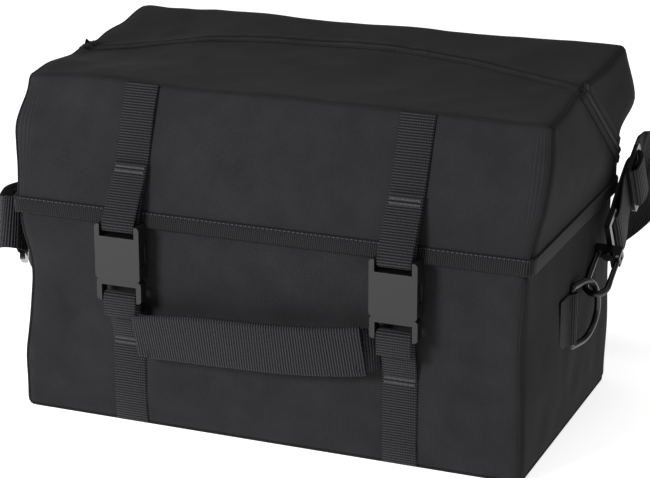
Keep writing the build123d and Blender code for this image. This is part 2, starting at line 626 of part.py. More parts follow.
def ribbon(stations):
    """Webbing through (centre, width direction) stations, as one faceted closed solid."""
    rings_of_points = []
    for index, (centre, across) in enumerate(stations):
        before, after = stations[max(index - 1, 0)][0], stations[min(index + 1, len(stations) - 1)][0]
        along = (Vector(*after) - Vector(*before)).normalized()
        wide = Vector(*across)
        wide = (wide - along * wide.dot(along)).normalized() * (SHOULDER_WIDTH / 2)
        thick = along.cross(wide).normalized() * (SHOULDER_WEBBING / 2)
        middle = Vector(*centre)
        corners = (wide + thick, wide * -1 + thick, wide * -1 - thick, wide - thick)
        rings_of_points.append([middle + corner for corner in corners])
    first_end, last_end = rings_of_points[0][::-1], rings_of_points[-1]
    faces = [Face(Wire.make_polygon(first_end)), Face(Wire.make_polygon(last_end))]
    for first, second in zip(rings_of_points, rings_of_points[1:]):
        for k in range(4):
            a, b, c, d = first[k], first[(k + 1) % 4], second[(k + 1) % 4], second[k]
            faces += [Face(Wire.make_polygon([a, b, c])), Face(Wire.make_polygon([a, c, d]))]
    return Solid(Shell(faces))


# The strap's free run behind the bag, from its right-hand corner to the left one. Each
# station: the share of the hood's half width, the distance behind the hood, the height,
# and the direction of the webbing's width.
REAR_RUN = [
    (1.085, 35, 166, (0, -0.1, 1)),
    (1.09, 50, 156, (-0.1, 0.35, 0.93)),
    (1.075, 60, 138, (-0.3, 0.6, 0.75)),
    (1.01, 64, 116, (-0.45, 0.75, 0.5)),
    (0.87, 62, 88, (-0.4, 0.87, 0.3)),
    (0.66, 56, 58, (-0.25, 0.95, 0.2)),
    (0.395, 49, 34, (-0.1, 0.99, 0.1)),
    (0.13, 44, 22, (0, 1, 0)),
    (-0.13, 44, 21, (0, 1, 0)),
    (-0.395, 48, 27, (0.1, 0.98, 0.15)),
    (-0.66, 53, 40, (0.2, 0.92, 0.3)),
    (-0.87, 53, 56, (0.3, 0.75, 0.6)),
    (-1.0, 46, 68, (0.2, 0.5, 0.85)),
    (-1.075, 33, 77, (0.05, 0.2, 0.97)),
]
# From the left-hand corner forward along the side and down to the left hook's eye. Each
# station: the distance outside the hood, the share of its half depth, the height, the width.
LEFT_RUN = [
    (18, 1.12, 84, (0, -0.1, 1)),
    (23, 0.89, 92, (0, 0, 1)),
    (31, 0.56, 103, (0, 0, 1)),
    (38, 0.19, 113, (0, 0.1, 1)),
    (41, -0.14, 121, (0, 0.15, 1)),
    (41, -0.4, 125, (-0.05, 0.25, 0.97)),
    (35, -0.6, 126, (-0.12, 0.4, 0.9)),
    (28, -0.73, 127.5, (-0.19, 0.46, 0.87)),
    (21, -0.8, 131, (-0.19, 0.46, 0.87)),
    (14.5, -0.795, 131.5, (-0.19, 0.46, 0.87)),
]


def strap_stations():
    """The stations of the strap's free run, right to left, then along the left side."""
    rear = [((share * HOOD_HALF, HOOD_HALF_DEPTH + behind, z), wide)
            for share, behind, z, wide in REAR_RUN]
    left = [((-HOOD_HALF - out, share * HOOD_HALF_DEPTH, z), wide) for out, share, z, wide in LEFT_RUN]
    return rear + left


def lead_station(plane, x, y, wide):
    """A station of the webbing at a place in a hook's plane."""
    return (tuple(plane.from_local_coords(Vector(x, y))), tuple(wide))


def shoulder_strap():
    """One length of webbing: doubled at the right slider, sewn round the left eye."""
    right, left = hook_plane("right"), hook_plane("left")
    around = EYE_BAR / 2 + SHOULDER_WEBBING / 2 + RING_CLEARANCE
    eye = EYE_BAR_X - around + EYE_BAR / 2
    x, length = SLIDER_REACH, SLIDER_LENGTH / 2
    thick, middle = SLIDER_THICKNESS / 2, SLIDER_MIDDLE_BAR / 2
    under = thick + SHOULDER_WEBBING / 2 + RING_CLEARANCE
    near = middle + SHOULDER_WEBBING / 2 + RING_CLEARANCE
    wide = length - SLIDER_BAR - SHOULDER_WEBBING / 2 - RING_CLEARANCE
    fixed = under + SHOULDER_WEBBING + RING_CLEARANCE
    arch = under + 2 * SHOULDER_WEBBING
    path = [
        (x - near, 0), (x - near, under), (x + near, under), (x + near, -fixed),
        (x - length, -fixed), (eye, -around), (eye, around), (EYE_BAR_X + 2 * EYE_BAR, around),
        (x - length - EYE_BAR, -under),
        (x - wide, -under), (x - wide, arch), (x + wide, arch), (x + wide, -under),
        (x + length + 2 * EYE_BAR, -under),
    ]
    strap = flat_webbing(right, path)
    leave = lead_station(right, x + length + 2 * EYE_BAR, -under, right.z_dir * -1)
    seam = EYE_BAR_X + EYE_BAR + 3 * SHOULDER_WEBBING
    arrive = [lead_station(left, seam + step, 0, left.z_dir) for step in (EYE_BAR, 0)]
    run = [leave, *strap_stations(), *arrive]
    loop = [
        (seam, 0), (EYE_BAR_X + EYE_BAR, around),
        (eye, around), (eye, -around), (EYE_BAR_X + EYE_BAR, -around),
    ]
    save("shoulder_strap", Compound([strap, ribbon(run), flat_webbing(left, loop)]))
    save("strap_slider", right.location * strap_slider())


# ---- rack hooks and lower anchor -----------------------------------------------
RAIL_BACK = HALF_DEPTH + RACK_RAIL
TUBE_Y = RAIL_BACK + RACK_HOOK_WALL + RACK_TUBE_RADIUS
TUBE_Z = RACK_RAIL_Z + RACK_RAIL_HEIGHT / 2
LATCH_Z = TUBE_Z - RACK_TUBE_RADIUS - 2 * LATCH_HUB - 2 * RING_CLEARANCE
LATCH_Y = RAIL_BACK + LATCH_HUB


def screw_places():
    """Where the rail's screws go, as (x, z): one on each side of each rack hook."""
    steps = (-RACK_HOOK_WIDTH, RACK_HOOK_WIDTH)
    return [(side * RACK_HOOK_OFFSET + step, TUBE_Z) for side in SIDES.values() for step in steps]


def rivet_places():
    """Where each rack hook is riveted through the rail, as (x, z)."""
    return [(side * RACK_HOOK_OFFSET, TUBE_Z) for side in SIDES.values()]


def holes_along_y(places, radius, low, high):
    """Cutters along Y at (x, z) places."""
    cutters = [rod((x, low, z), (x, high, z), radius) for x, z in places]
    return Part() + cutters


def back_holes():
    """Every hole through the back panel and its board."""
    low, high = 0, BODY_DEPTH
    cutters = holes_along_y(screw_places() + rivet_places(), SCREW_RADIUS, low, high)
    return cutters + holes_along_y([(0, ANCHOR_HEIGHT)], ANCHOR_PIN, low, high)


def rack_hook(x):
    """A J-shaped hook over the tube, with a clevis at its foot for the latch lever."""
    half, outer = RACK_HOOK_WIDTH / 2, RACK_TUBE_RADIUS + RACK_HOOK_WALL
    foot = LATCH_Z - LATCH_HUB
    hook = rod((x - half, TUBE_Y, TUBE_Z), (x + half, TUBE_Y, TUBE_Z), outer)
    hook -= block((x - half, TUBE_Y - outer, TUBE_Z - outer), (x + half, TUBE_Y + outer, TUBE_Z))
    hook += block((x - half, RAIL_BACK, foot), (x + half, RAIL_BACK + RACK_HOOK_WALL, TUBE_Z))
    lip = TUBE_Z - RACK_TUBE_RADIUS + RING_CLEARANCE
    hook += block((x - half, TUBE_Y + RACK_TUBE_RADIUS, lip), (x + half, TUBE_Y + outer, TUBE_Z))
    hook -= rod((x - half, TUBE_Y, TUBE_Z), (x + half, TUBE_Y, TUBE_Z), RACK_TUBE_RADIUS)
    hook += rod((x - half, LATCH_Y, LATCH_Z), (x + half, LATCH_Y, LATCH_Z), LATCH_HUB)
    slot = LATCH_WIDTH / 2 + RING_CLEARANCE
    reach = LATCH_HUB + RING_CLEARANCE
    hook -= block((x - slot, RAIL_BACK, LATCH_Z - reach), (x + slot, LATCH_Y + reach, LATCH_Z + reach))
    hook -= rod((x - half, LATCH_Y, LATCH_Z), (x + half, LATCH_Y, LATCH_Z), LATCH_PIN)
    return hook


def hook_latch(x):
    """The lever that closes the hook under the tube, with a finger lip."""
    half, tip = LATCH_WIDTH / 2, TUBE_Y + RACK_TUBE_RADIUS + RACK_HOOK_WALL
    under = LATCH_Z + LATCH_HUB
    lever = rod((x - half, LATCH_Y, LATCH_Z), (x + half, LATCH_Y, LATCH_Z), LATCH_HUB)
    lever += block((x - half, LATCH_Y, LATCH_Z), (x + half, tip + LATCH_HUB, under))
    lever += block((x - half, tip + RING_CLEARANCE, LATCH_Z), (x + half, tip + LATCH_HUB, TUBE_Z))
    bore = LATCH_PIN + RUNNING_CLEARANCE
    return lever - rod((x - half, LATCH_Y, LATCH_Z), (x + half, LATCH_Y, LATCH_Z), bore)


def rack_hooks():
    """A rail across the back with two hooks for a rack tube, each with a latch lever."""
    x_half, hook_half = RACK_RAIL_WIDTH / 2, RACK_HOOK_WIDTH / 2
    rail_top = RACK_RAIL_Z + RACK_RAIL_HEIGHT
    rail = block((-x_half, HALF_DEPTH, RACK_RAIL_Z), (x_half, RAIL_BACK, rail_top))
    rail = fillet(rail.edges().filter_by(Axis.Y), RACK_RAIL)
    save("rack_rail", rail - back_holes())
    pins = Part()
    for name, side in SIDES.items():
        x = side * RACK_HOOK_OFFSET
        save(f"rack_hook_{name}", rack_hook(x) - back_holes())
        save(f"hook_latch_{name}", hook_latch(x))
        pins += rod((x - hook_half, LATCH_Y, LATCH_Z), (x + hook_half, LATCH_Y, LATCH_Z), LATCH_PIN)
    save("latch_pins", pins)
    inside = HALF_DEPTH - FABRIC - BACK_BOARD
    screws, washers, rivets = Part(), Part(), Part()
    for x, z in screw_places():
        screws += rod((x, inside - WASHER, z), (x, RAIL_BACK, z), SCREW_RADIUS)
        screws += rod((x, RAIL_BACK, z), (x, RAIL_BACK + SCREW_HEAD_HEIGHT, z), SCREW_HEAD)
        ring = rod((x, inside - WASHER, z), (x, inside, z), WASHER_RADIUS)
        washers += ring - rod((x, inside - WASHER, z), (x, inside, z), SCREW_RADIUS)
    for x, z in rivet_places():
        rivets += rod((x, inside, z), (x, RAIL_BACK + RACK_HOOK_WALL, z), SCREW_RADIUS)
        rivets += rod((x, inside - WASHER, z), (x, inside, z), SCREW_HEAD)
    save("rail_screws", screws)
    save("rail_washers", washers)
    save("hook_rivets", rivets)


def lower_anchor():
    """A disc, a pivot pin and a finger that swings to hook behind the rack's stay."""
    z = ANCHOR_HEIGHT
    face = HALF_DEPTH + ANCHOR_BASE
    disc = rod((0, HALF_DEPTH, z), (0, face, z), ANCHOR_RADIUS)
    save("anchor_disc", disc - back_holes())
    near = face + RING_CLEARANCE
    far = near + RACK_HOOK_WALL
    half = ANCHOR_RADIUS / 2
    finger = rod((0, near, z), (0, far, z), 0.8 * ANCHOR_RADIUS)
    finger += block((-half, near, z - ANCHOR_REACH), (half, far, z))
    finger += block((-half, near, z - ANCHOR_REACH), (half, far + half, z - ANCHOR_REACH + RACK_HOOK_WALL))
    lip = far + half
    finger += block((-half, lip, z - ANCHOR_REACH), (half, lip + RACK_HOOK_WALL, z - ANCHOR_REACH + ANCHOR_RADIUS))
    bore = ANCHOR_PIN + RUNNING_CLEARANCE
    save("anchor_finger", finger - rod((0, near, z), (0, far, z), bore))
    inside = HALF_DEPTH - FABRIC - BACK_BOARD
    pin = rod((0, inside, z), (0, far + RING_CLEARANCE, z), ANCHOR_PIN)
    pin += rod((0, inside - WASHER, z), (0, inside, z), 2 * ANCHOR_PIN)
    head = far + RING_CLEARANCE
    save("anchor_pin", pin + rod((0, head, z), (0, head + SCREW_HEAD_HEIGHT, z), 2 * ANCHOR_PIN))


def main():
    os.makedirs("parts", exist_ok=True)
    body_panels()
    boards()
    hood_panels()
    hood_trim()
    zip_parts()
    closing_straps()
    carry_handle()
    rings()
    snap_hooks()
    shoulder_strap()
    rack_hooks()
    lower_anchor()


main()
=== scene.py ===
import math

import bmesh
import bpy
import numpy as np
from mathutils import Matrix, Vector, noise


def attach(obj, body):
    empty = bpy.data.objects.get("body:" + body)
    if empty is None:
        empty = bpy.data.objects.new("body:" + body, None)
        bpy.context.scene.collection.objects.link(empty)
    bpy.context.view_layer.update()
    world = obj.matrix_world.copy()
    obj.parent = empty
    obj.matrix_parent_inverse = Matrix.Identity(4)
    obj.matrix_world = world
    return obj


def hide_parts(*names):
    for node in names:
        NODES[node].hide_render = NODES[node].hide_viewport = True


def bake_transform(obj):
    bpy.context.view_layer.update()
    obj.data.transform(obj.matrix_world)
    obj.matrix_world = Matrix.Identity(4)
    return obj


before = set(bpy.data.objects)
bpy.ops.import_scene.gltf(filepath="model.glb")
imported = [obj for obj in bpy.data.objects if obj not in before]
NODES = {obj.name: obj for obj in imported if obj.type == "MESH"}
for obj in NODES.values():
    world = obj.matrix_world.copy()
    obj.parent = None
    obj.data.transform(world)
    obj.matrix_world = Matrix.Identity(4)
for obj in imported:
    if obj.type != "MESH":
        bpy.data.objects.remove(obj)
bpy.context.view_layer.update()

MM = 0.001
SIDES = {"left": -1, "right": 1}

# ---- sizes of the bag, in millimetres, as the frame has them -------------------
BODY_X, BODY_Y, BODY_TOP = 187.0, 104.0, 228.0
HOOD_X, HOOD_Y, HEM, HINGE = 190.0, 107.0, 148.0, 163.0
TOP_FRONT, TOP_BACK = (-74.0, 241.0), (107.0, 255.0)
CORNER = 6.0                      # how round the sewn corners of the shell are
SHELL = 1.8                       # lined fabric
ZIP_SIDE_Y, ZIP_MIDDLE_Y, ZIP_END_Z = 3.0, 60.0, 175.0
STRAP_X, STRAP_WIDTH, WEBBING = 101.0, 25.0, 1.5
SHOULDER_WIDTH, SHOULDER_WEBBING = 38.0, 1.6
STITCH_PITCH, TACK_PITCH, TACK_HALF = 3.2, 0.85, 10.5
COIL_PITCH = 1.25
HEM_WIDTH, HEM_THICKNESS = 11.5, 2.2
GRIP_THICKNESS, HANDLE_END_WIDTH, HANDLE_END_THICKNESS = 4.4, 31.0, 2.4
HOOD_SEAM, BODY_SEAM = 0.8, 1.2   # how thick the seams stand out, as a radius


# ---- shape of the soft shell ----------------------------------------------------
def hill(value, centre, width):
    """A smooth bump: 1 at the centre, fading over the width."""
    return np.exp(-(((value - centre) / width) ** 2))


def ramp(value, low, high):
    """Eases from 0 at low to 1 at high."""
    t = np.clip((value - low) / (high - low), 0, 1)
    return t * t * (3 - 2 * t)


def fold_noise(points, scale, seed):
    """One smooth noise value per point."""
    return np.array([noise.noise(Vector(p) / scale + Vector((seed, 7.3 * seed, 0))) for p in points])


def closest_in_polygon(points, polygon):
    """Each (y, z) point, or the nearest point of a convex polygon if it lies outside."""
    inside = np.ones(len(points), bool)
    best, best_distance = points.copy(), np.full(len(points), 1e9)
    for a, b in zip(polygon, np.roll(polygon, -1, 0)):
        edge = b - a
        t = np.clip(((points - a) @ edge) / (edge @ edge), 0, 1)
        foot = a + t[:, None] * edge
        distance = np.linalg.norm(points - foot, axis=1)
        outside = (edge[0] * (points[:, 1] - a[1]) - edge[1] * (points[:, 0] - a[0])) < 0
        inside &= ~outside
        nearer = distance < best_distance
        best[nearer], best_distance[nearer] = foot[nearer], distance[nearer]
    best[inside] = points[inside]
    return best


def inset_polygon(polygon, distance):
    """A convex, counter-clockwise (y, z) polygon moved in on every side."""
    lines = []
    for a, b in zip(polygon, np.roll(polygon, -1, 0)):
        along = (b - a) / np.linalg.norm(b - a)
        lines.append((a + distance * np.array((-along[1], along[0])), along))
    corners = []
    for (p, u), (q, v) in zip([lines[-1]] + lines[:-1], lines):
        t = np.cross(q - p, v) / np.cross(u, v)
        corners.append(p + t * u)
    return np.array(corners)


def rounded(points, half_x, polygon):
    """Points on a sharp-edged prism, moved onto the same prism with round corners."""
    inner = points.copy()
    inner[:, 0] = np.clip(points[:, 0], CORNER - half_x, half_x - CORNER)
    inner[:, 1:] = closest_in_polygon(points[:, 1:], inset_polygon(polygon, CORNER))
    away = points - inner
    reach = np.linalg.norm(away, axis=1, keepdims=True)
    return inner + away / np.maximum(reach, 1e-9) * np.minimum(reach, CORNER)


BODY_OUTLINE = np.array([(-BODY_Y, 0), (BODY_Y, 0), (BODY_Y, 300), (-46, 300), (-BODY_Y, 148)], float)
HOOD_OUTLINE = np.array([(-HOOD_Y, HEM), (-HOOD_Y, 60), (HOOD_Y, 60), TOP_BACK, TOP_FRONT], float)


def zip_distance(points):
    """How far a point of a side wall is from the zip's straight run."""
    a, b = np.array((HOOD_Y, ZIP_END_Z)), np.array((ZIP_SIDE_Y, 247.0))
    along = (b - a) / np.linalg.norm(b - a)
    rel = points[:, 1:] - a
    return np.abs(rel[:, 0] * along[1] - rel[:, 1] * along[0])


def hood_sag(points):
    """The hood's slumped, slightly wrinkled shape, from its crisp one."""
    p = rounded(points, HOOD_X, HOOD_OUTLINE)
    x, y, z = p.T
    move = np.zeros_like(p)
    free = ramp(z, HEM + 6, HEM + 40)
    top = ramp(z, 222, 244)
    across = np.cos(np.clip(x / HOOD_X, -1, 1) * math.pi / 2)
    depth = np.clip((y + 74) / 181, 0, 1)
    move[:, 2] -= top * 4.5 * across**0.6 * np.sin(depth * math.pi)
    move[:, 2] -= top * 5.0 * hill(x, -168, 42) * hill(y, 40, 62)
    move[:, 2] -= top * 2.5 * hill(x, 150, 40) * hill(y, -30, 45)
    clear = ramp(zip_distance(p), 7, 34) * (np.abs(x) > HOOD_X - 8)
    move[:, 0] += np.sign(x) * free * clear * 5.0 * hill(z, 205, 40)
    move[:, 0] += (x > 0) * clear * free * 5.0 * hill(y, 100, 36) * hill(z, 215, 30)
    back = ramp(y, HOOD_Y - 12, HOOD_Y)
    move[:, 1] += back * ramp(z, HINGE, HINGE + 30) * 7.0 * hill(z, 212, 36)
    front = ramp(-y, 60, 74) * (1 - top) * free
    move[:, 1] -= front * 2.2 * np.sin(np.clip((z - HEM) / 93, 0, 1) * math.pi) * across**0.5
    near_zip = ramp(zip_distance(p), 5, 16) + (np.abs(x) < HOOD_X - 8)
    soft = np.clip(near_zip, 0, 1) * free
    coarse = fold_noise(p * (1, 1, 1.4), 58, 3.1) * 2.6 + fold_noise(p * (1.3, 1, 1), 24, 8.4) * 0.9
    slack = 0.55 + 0.9 * hill(x, -185, 70)
    lift = coarse * soft * slack
    flat = top[:, None] * (0, 0, 1) + (front[:, None] * (0, -1, 0.35))
    side = ((np.abs(x) > HOOD_X - 8) * (1 - top))[:, None] * np.stack([np.sign(x), 0 * x, 0 * x], 1)
    behind = (back * (1 - top))[:, None] * (0, 1, 0)
    return p + move + lift[:, None] * (flat + 0.8 * side + behind)


def body_sag(points):
    """The body's bulged gussets, pinched left seam and soft front, from the crisp box."""
    p = rounded(points, BODY_X, BODY_OUTLINE)
    x, y, z = p.T
    move = np.zeros_like(p)
    low = ramp(z, 0, 26) * (1 - ramp(z, 118, HEM + 2))
    gusset = ramp(np.abs(x), BODY_X - 9, BODY_X) * low
    wide = np.cos(np.clip(y / BODY_Y, -1, 1) * math.pi / 2) ** 0.7
    move[:, 0] += np.sign(x) * gusset * wide * np.where(x < 0, 7.0, 4.5) * hill(z, 70, 60)
    front = ramp(-y, BODY_Y - 9, BODY_Y) * low
    pinch = low * hill(z, 96, 40)
    move[:, 0] += (x < 0) * ramp(-x, 120, BODY_X) * 8.0 * pinch * hill(y, -BODY_Y, 42)
    move[:, 0] -= (x > 0) * ramp(x, 140, BODY_X) * 2.5 * pinch * hill(y, -BODY_Y, 40)
    across = np.cos(np.clip(x / BODY_X, -1, 1) * math.pi / 2)
    strap = hill(np.abs(x), STRAP_X, 22)
    move[:, 1] -= front * 3.0 * across**0.5 * (1 - 0.7 * strap) * (1 - 0.8 * hill(z, 80, 30))
    move[:, 1] += front * 5.0 * hill(x, -152, 16) * hill(z, 62, 34)
    move[:, 1] += front * 2.5 * hill(x, 160, 14) * hill(z, 75, 40)
    folds = fold_noise(p, 46, 1.7) * 1.8 + fold_noise(p * (1, 1, 0.6), 19, 5.2) * 0.7
    slack = (0.5 + 1.1 * hill(x, -170, 55)) * low
    move[:, 1] -= ramp(-y, BODY_Y - 9, BODY_Y) * folds * slack
    move[:, 0] += np.sign(x) * gusset * folds * 0.9
    return p + move


# ---- building meshes --------------------------------------------------------------
def finish_mesh(name, verts, faces, uvs, material, body, slot, replaces=(), smooth=True):
    """A mesh object in the row frame from millimetres, with a UV map in metres."""
    name = name.replace(" ", "_")
    mesh = bpy.data.meshes.new(name)
    mesh.from_pydata((np.asarray(verts) * MM).tolist(), [], faces)
    layer = mesh.uv_layers.new(name="UVMap")
    flat = [c for face in uvs for uv in face for c in uv]
    layer.data.foreach_set("uv", flat)
    mesh.polygons.foreach_set("use_smooth", [smooth] * len(mesh.polygons))
    mesh.materials.append(material)
    obj = bpy.data.objects.new(name, mesh)
    bpy.context.scene.collection.objects.link(obj)
    if replaces:
        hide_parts(*replaces)
    if body:
        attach(obj, body)
    return obj


def patch(a, b, c, d, across, up):
    """A grid of points on the quadrilateral a-b-c-d; a to b is across, a to d is up."""
    a, b, c, d = (np.array(v, float) for v in (a, b, c, d))
    u = np.linspace(0, 1, across + 1)[None, :, None]
    v = np.linspace(0, 1, up + 1)[:, None, None]
    grid = (1 - v) * ((1 - u) * a + u * b) + v * ((1 - u) * d + u * c)
    wide = max(np.linalg.norm(b - a), np.linalg.norm(c - d)) * MM
    tall = np.linalg.norm(d - a) * MM
    uv = np.concatenate([np.broadcast_to(u * wide, (up + 1, across + 1, 1)),
                         np.broadcast_to(v * tall, (up + 1, across + 1, 1))], axis=2)
    return grid, uv


def shell(name, patches, shape, keep, thickness, **where):
    """Patches joined along their shared edges, shaped, and given the cloth's thickness."""
    index, verts, faces, uvs = {}, [], [], []
    for grid, uv in patches:
        rows, columns = grid.shape[:2]
        ids = np.empty((rows, columns), int)
        for i in range(rows):
            for j in range(columns):
                key = tuple(np.round(grid[i, j], 2))
                if key not in index:
                    index[key] = len(verts)
                    verts.append(grid[i, j])
                ids[i, j] = index[key]
        for i in range(rows - 1):
            for j in range(columns - 1):
                corners = [(i, j), (i, j + 1), (i + 1, j + 1), (i + 1, j)]
                middle = sum(grid[k] for k in corners) / 4
                if keep(middle):
                    faces.append([int(ids[k]) for k in corners])
                    uvs.append([tuple(uv[k]) for k in corners])
    used = sorted({i for f in faces for i in f})
    renumber = {old: new for new, old in enumerate(used)}
    faces = [[renumber[i] for i in f] for f in faces]
    placed = shape(np.array([verts[i] for i in used]))
    obj = finish_mesh(name, placed, faces, uvs, **where)
    solid = obj.modifiers.new("cloth thickness", "SOLIDIFY")
    solid.thickness = thickness * MM
    solid.offset = -1
    return obj


def smooth_path(points, rounds=2):
    """Corners cut twice, ends kept: a bent strap's line."""
    points = np.array(points, float)
    for _ in range(rounds):
        cut = [points[0]]
        for a, b in zip(points, points[1:]):
            cut += [a * 0.75 + b * 0.25, a * 0.25 + b * 0.75]
        points = np.array(cut + [points[-1]])
    return points


def resample(points, step):
    """The same line with even steps."""
    points = np.array(points, float)
    lengths = np.concatenate([[0], np.cumsum(np.linalg.norm(np.diff(points, axis=0), axis=1))])
    count = max(2, int(round(lengths[-1] / step)) + 1)
    at = np.linspace(0, lengths[-1], count)
    return np.stack([np.interp(at, lengths, points[:, k]) for k in range(3)], 1), lengths[-1]


def webbing(name, line, wides, width, thickness, **where):
    """Webbing with round edges along a line; wides is the width's direction at each point."""
    line, wides = np.array(line, float), np.array(wides, float)
    along = np.gradient(line, axis=0)
    along /= np.linalg.norm(along, axis=1, keepdims=True)
    wides -= (wides * along).sum(1, keepdims=True) * along
    wides /= np.linalg.norm(wides, axis=1, keepdims=True)
    thick = np.cross(along, wides)
    t = thickness / 2
    half = np.broadcast_to(np.asarray(width, float) / 2, (len(line),))[:, None]
    edge = [(1, -t, -t), (1, -0.3 * t, -0.7 * t), (1, 0, 0), (1, -0.3 * t, 0.7 * t), (1, -t, t)]
    profile = edge + [(0, 0, t)] + [(-side, -a, b) for side, a, b in edge[::-1]] + [(0, 0, -t)]
    rings = [line + (side * half + a) * wides + b * thick for side, a, b in profile]
    verts = np.stack(rings, 1).reshape(-1, 3)
    count, n = len(profile), len(line)
    run = np.concatenate([[0], np.cumsum(np.linalg.norm(np.diff(line, axis=0), axis=1))]) * MM
    girth = [(side * half.mean() + a) * MM for side, a, _ in profile]
    faces, uvs = [], []
    for i in range(n - 1):
        for k in range(count):
            m = (k + 1) % count
            faces.append([i * count + k, i * count + m, (i + 1) * count + m, (i + 1) * count + k])
            uvs.append([(girth[k], run[i]), (girth[m], run[i]),
                        (girth[m], run[i + 1]), (girth[k], run[i + 1])])
    for ring, end in ((0, list(range(count))[::-1]), (n - 1, list(range(count)))):
        faces.append([ring * count + k for k in end])
        uvs.append([(girth[k], run[ring]) for k in end])
    return finish_mesh(name, verts, faces, uvs, **where), run[-1]


def tube(name, line, radius, sides=8, **where):
    """A round cord sewn into a seam."""
    line = np.array(line, float)
    along = np.gradient(line, axis=0)
    along /= np.linalg.norm(along, axis=1, keepdims=True)
    guide = np.array((0.31, 0.52, 0.79))
    one = np.cross(along, guide)
    one /= np.linalg.norm(one, axis=1, keepdims=True)
    two = np.cross(along, one)
    verts, faces, uvs = [], [], []
    run = np.concatenate([[0], np.cumsum(np.linalg.norm(np.diff(line, axis=0), axis=1))]) * MM
    for p, a, b in zip(line, one, two):
        for k in range(sides):
            t = 2 * math.pi * k / sides
            verts.append(p + radius * (math.cos(t) * a + math.sin(t) * b))
    girth = 2 * math.pi * radius * MM / sides
    for i in range(len(line) - 1):
        for k in range(sides):
            m = (k + 1) % sides
            faces.append([i * sides + k, i * sides + m, (i + 1) * sides + m, (i + 1) * sides + k])
            uvs.append([(k * girth, run[i]), ((k + 1) * girth, run[i]),
                        ((k + 1) * girth, run[i + 1]), (k * girth, run[i + 1])])
    for ring, order in ((0, range(sides)[::-1]), (len(line) - 1, range(sides))):
        faces.append([ring * sides + k for k in order])
        uvs.append([(k * girth, run[ring]) for k in order])
    return finish_mesh(name, verts, faces, uvs, **where)


# ---- rows of small things: stitches and zip coils ----------------------------------
def row_tree():
    """A node group that sets one item at even spacing along a line."""
    tree = bpy.data.node_groups.new("row of items", "GeometryNodeTree")
    face = tree.interface
    face.new_socket("Line", in_out="INPUT", socket_type="NodeSocketGeometry")
    face.new_socket("Item", in_out="INPUT", socket_type="NodeSocketObject")
    face.new_socket("Spacing", in_out="INPUT", socket_type="NodeSocketFloat")
    face.new_socket("Finish", in_out="INPUT", socket_type="NodeSocketMaterial")
    face.new_socket("Row", in_out="OUTPUT", socket_type="NodeSocketGeometry")
    add, join = tree.nodes.new, tree.links.new
    given, made = add("NodeGroupInput"), add("NodeGroupOutput")
    curve, points = add("GeometryNodeMeshToCurve"), add("GeometryNodeCurveToPoints")
    points.mode = "LENGTH"
    item, spread = add("GeometryNodeObjectInfo"), add("GeometryNodeInstanceOnPoints")
    real, paint = add("GeometryNodeRealizeInstances"), add("GeometryNodeSetMaterial")
    join(given.outputs["Line"], curve.inputs["Mesh"])
    join(curve.outputs["Curve"], points.inputs["Curve"])
    join(given.outputs["Spacing"], points.inputs["Length"])
    join(points.outputs["Points"], spread.inputs["Points"])
    join(points.outputs["Rotation"], spread.inputs["Rotation"])
    join(given.outputs["Item"], item.inputs["Object"])
    join(item.outputs["Geometry"], spread.inputs["Instance"])
    join(spread.outputs["Instances"], real.inputs["Geometry"])
    join(real.outputs["Geometry"], paint.inputs["Geometry"])
    join(given.outputs["Finish"], paint.inputs["Material"])
    join(paint.outputs["Geometry"], made.inputs["Row"])
    return tree


ROW = row_tree()


def row(name, lines, item, spacing, material, body):
    """One piece made of an item repeated along one or more lines."""
    name = name.replace(" ", "_")
    mesh = bpy.data.meshes.new(name)
    verts, edges = [], []
    for line in lines:
        start = len(verts)
        verts += [tuple(p * MM) for p in np.array(line, float)]
        edges += [(start + i, start + i + 1) for i in range(len(line) - 1)]
    mesh.from_pydata(verts, edges, [])
    guide = bpy.data.objects.new(name + " guide", mesh)
    bpy.context.scene.collection.objects.link(guide)
    made = guide.modifiers.new("row", "NODES")
    made.node_group = ROW
    names = {s.name: s.identifier for s in ROW.interface.items_tree if s.in_out == "INPUT"}
    made[names["Item"]] = item
    made[names["Spacing"]] = spacing * MM
    made[names["Finish"]] = material
    depsgraph = bpy.context.evaluated_depsgraph_get()
    result = bpy.data.meshes.new_from_object(guide.evaluated_get(depsgraph))
    bpy.data.objects.remove(guide)
    obj = bpy.data.objects.new(name, result)
    result.polygons.foreach_set("use_smooth", [True] * len(result.polygons))
    bpy.context.scene.collection.objects.link(obj)
    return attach(obj, body)


def pattern_item(name, build):
    """A small mesh used as a row's item; it is removed before the scene is finished."""
    mesh = bpy.data.meshes.new(name)
    b = bmesh.new()
    build(b)
    b.to_mesh(mesh)
    b.free()
    obj = bpy.data.objects.new(name, mesh)
    bpy.context.scene.collection.objects.link(obj)
    return obj


def stitch(b):
    """A short thread that dips into the cloth at both ends."""
    bmesh.ops.create_uvsphere(b, u_segments=6, v_segments=5, radius=1)
    for v in b.verts:
        v.co = Vector((v.co.x * 0.26, v.co.y * 0.26, v.co.z * 1.15)) * MM


def coil_ring(b):
    """One turn of the zip's nylon coil."""
    turns, sides = 12, 5
    rings = []
    for i in range(turns):
        t = 2 * math.pi * i / turns
        ring = []
        for k in range(sides):
            s = 2 * math.pi * k / sides
            r = 1.75 + 0.42 * math.cos(s)
            ring.append(b.verts.new(Vector((r * math.cos(t), r * math.sin(t), 0.42 * math.sin(s))) * MM))
        rings.append(ring)
    for i in range(turns):
        for k in range(sides):
            m, n = (i + 1) % turns, (k + 1) % sides
            b.faces.new((rings[i][k], rings[m][k], rings[m][n], rings[i][n]))


# ---- finishes -----------------------------------------------------------------------
def colour(code):
    """Linear colour from an sRGB hex code."""
    values = [int(code[i:i + 2], 16) / 255 for i in (1, 3, 5)]
    linear = [v / 12.92 if v <= 0.04045 else ((v + 0.055) / 1.055) ** 2.4 for v in values]
    return (*linear, 1)


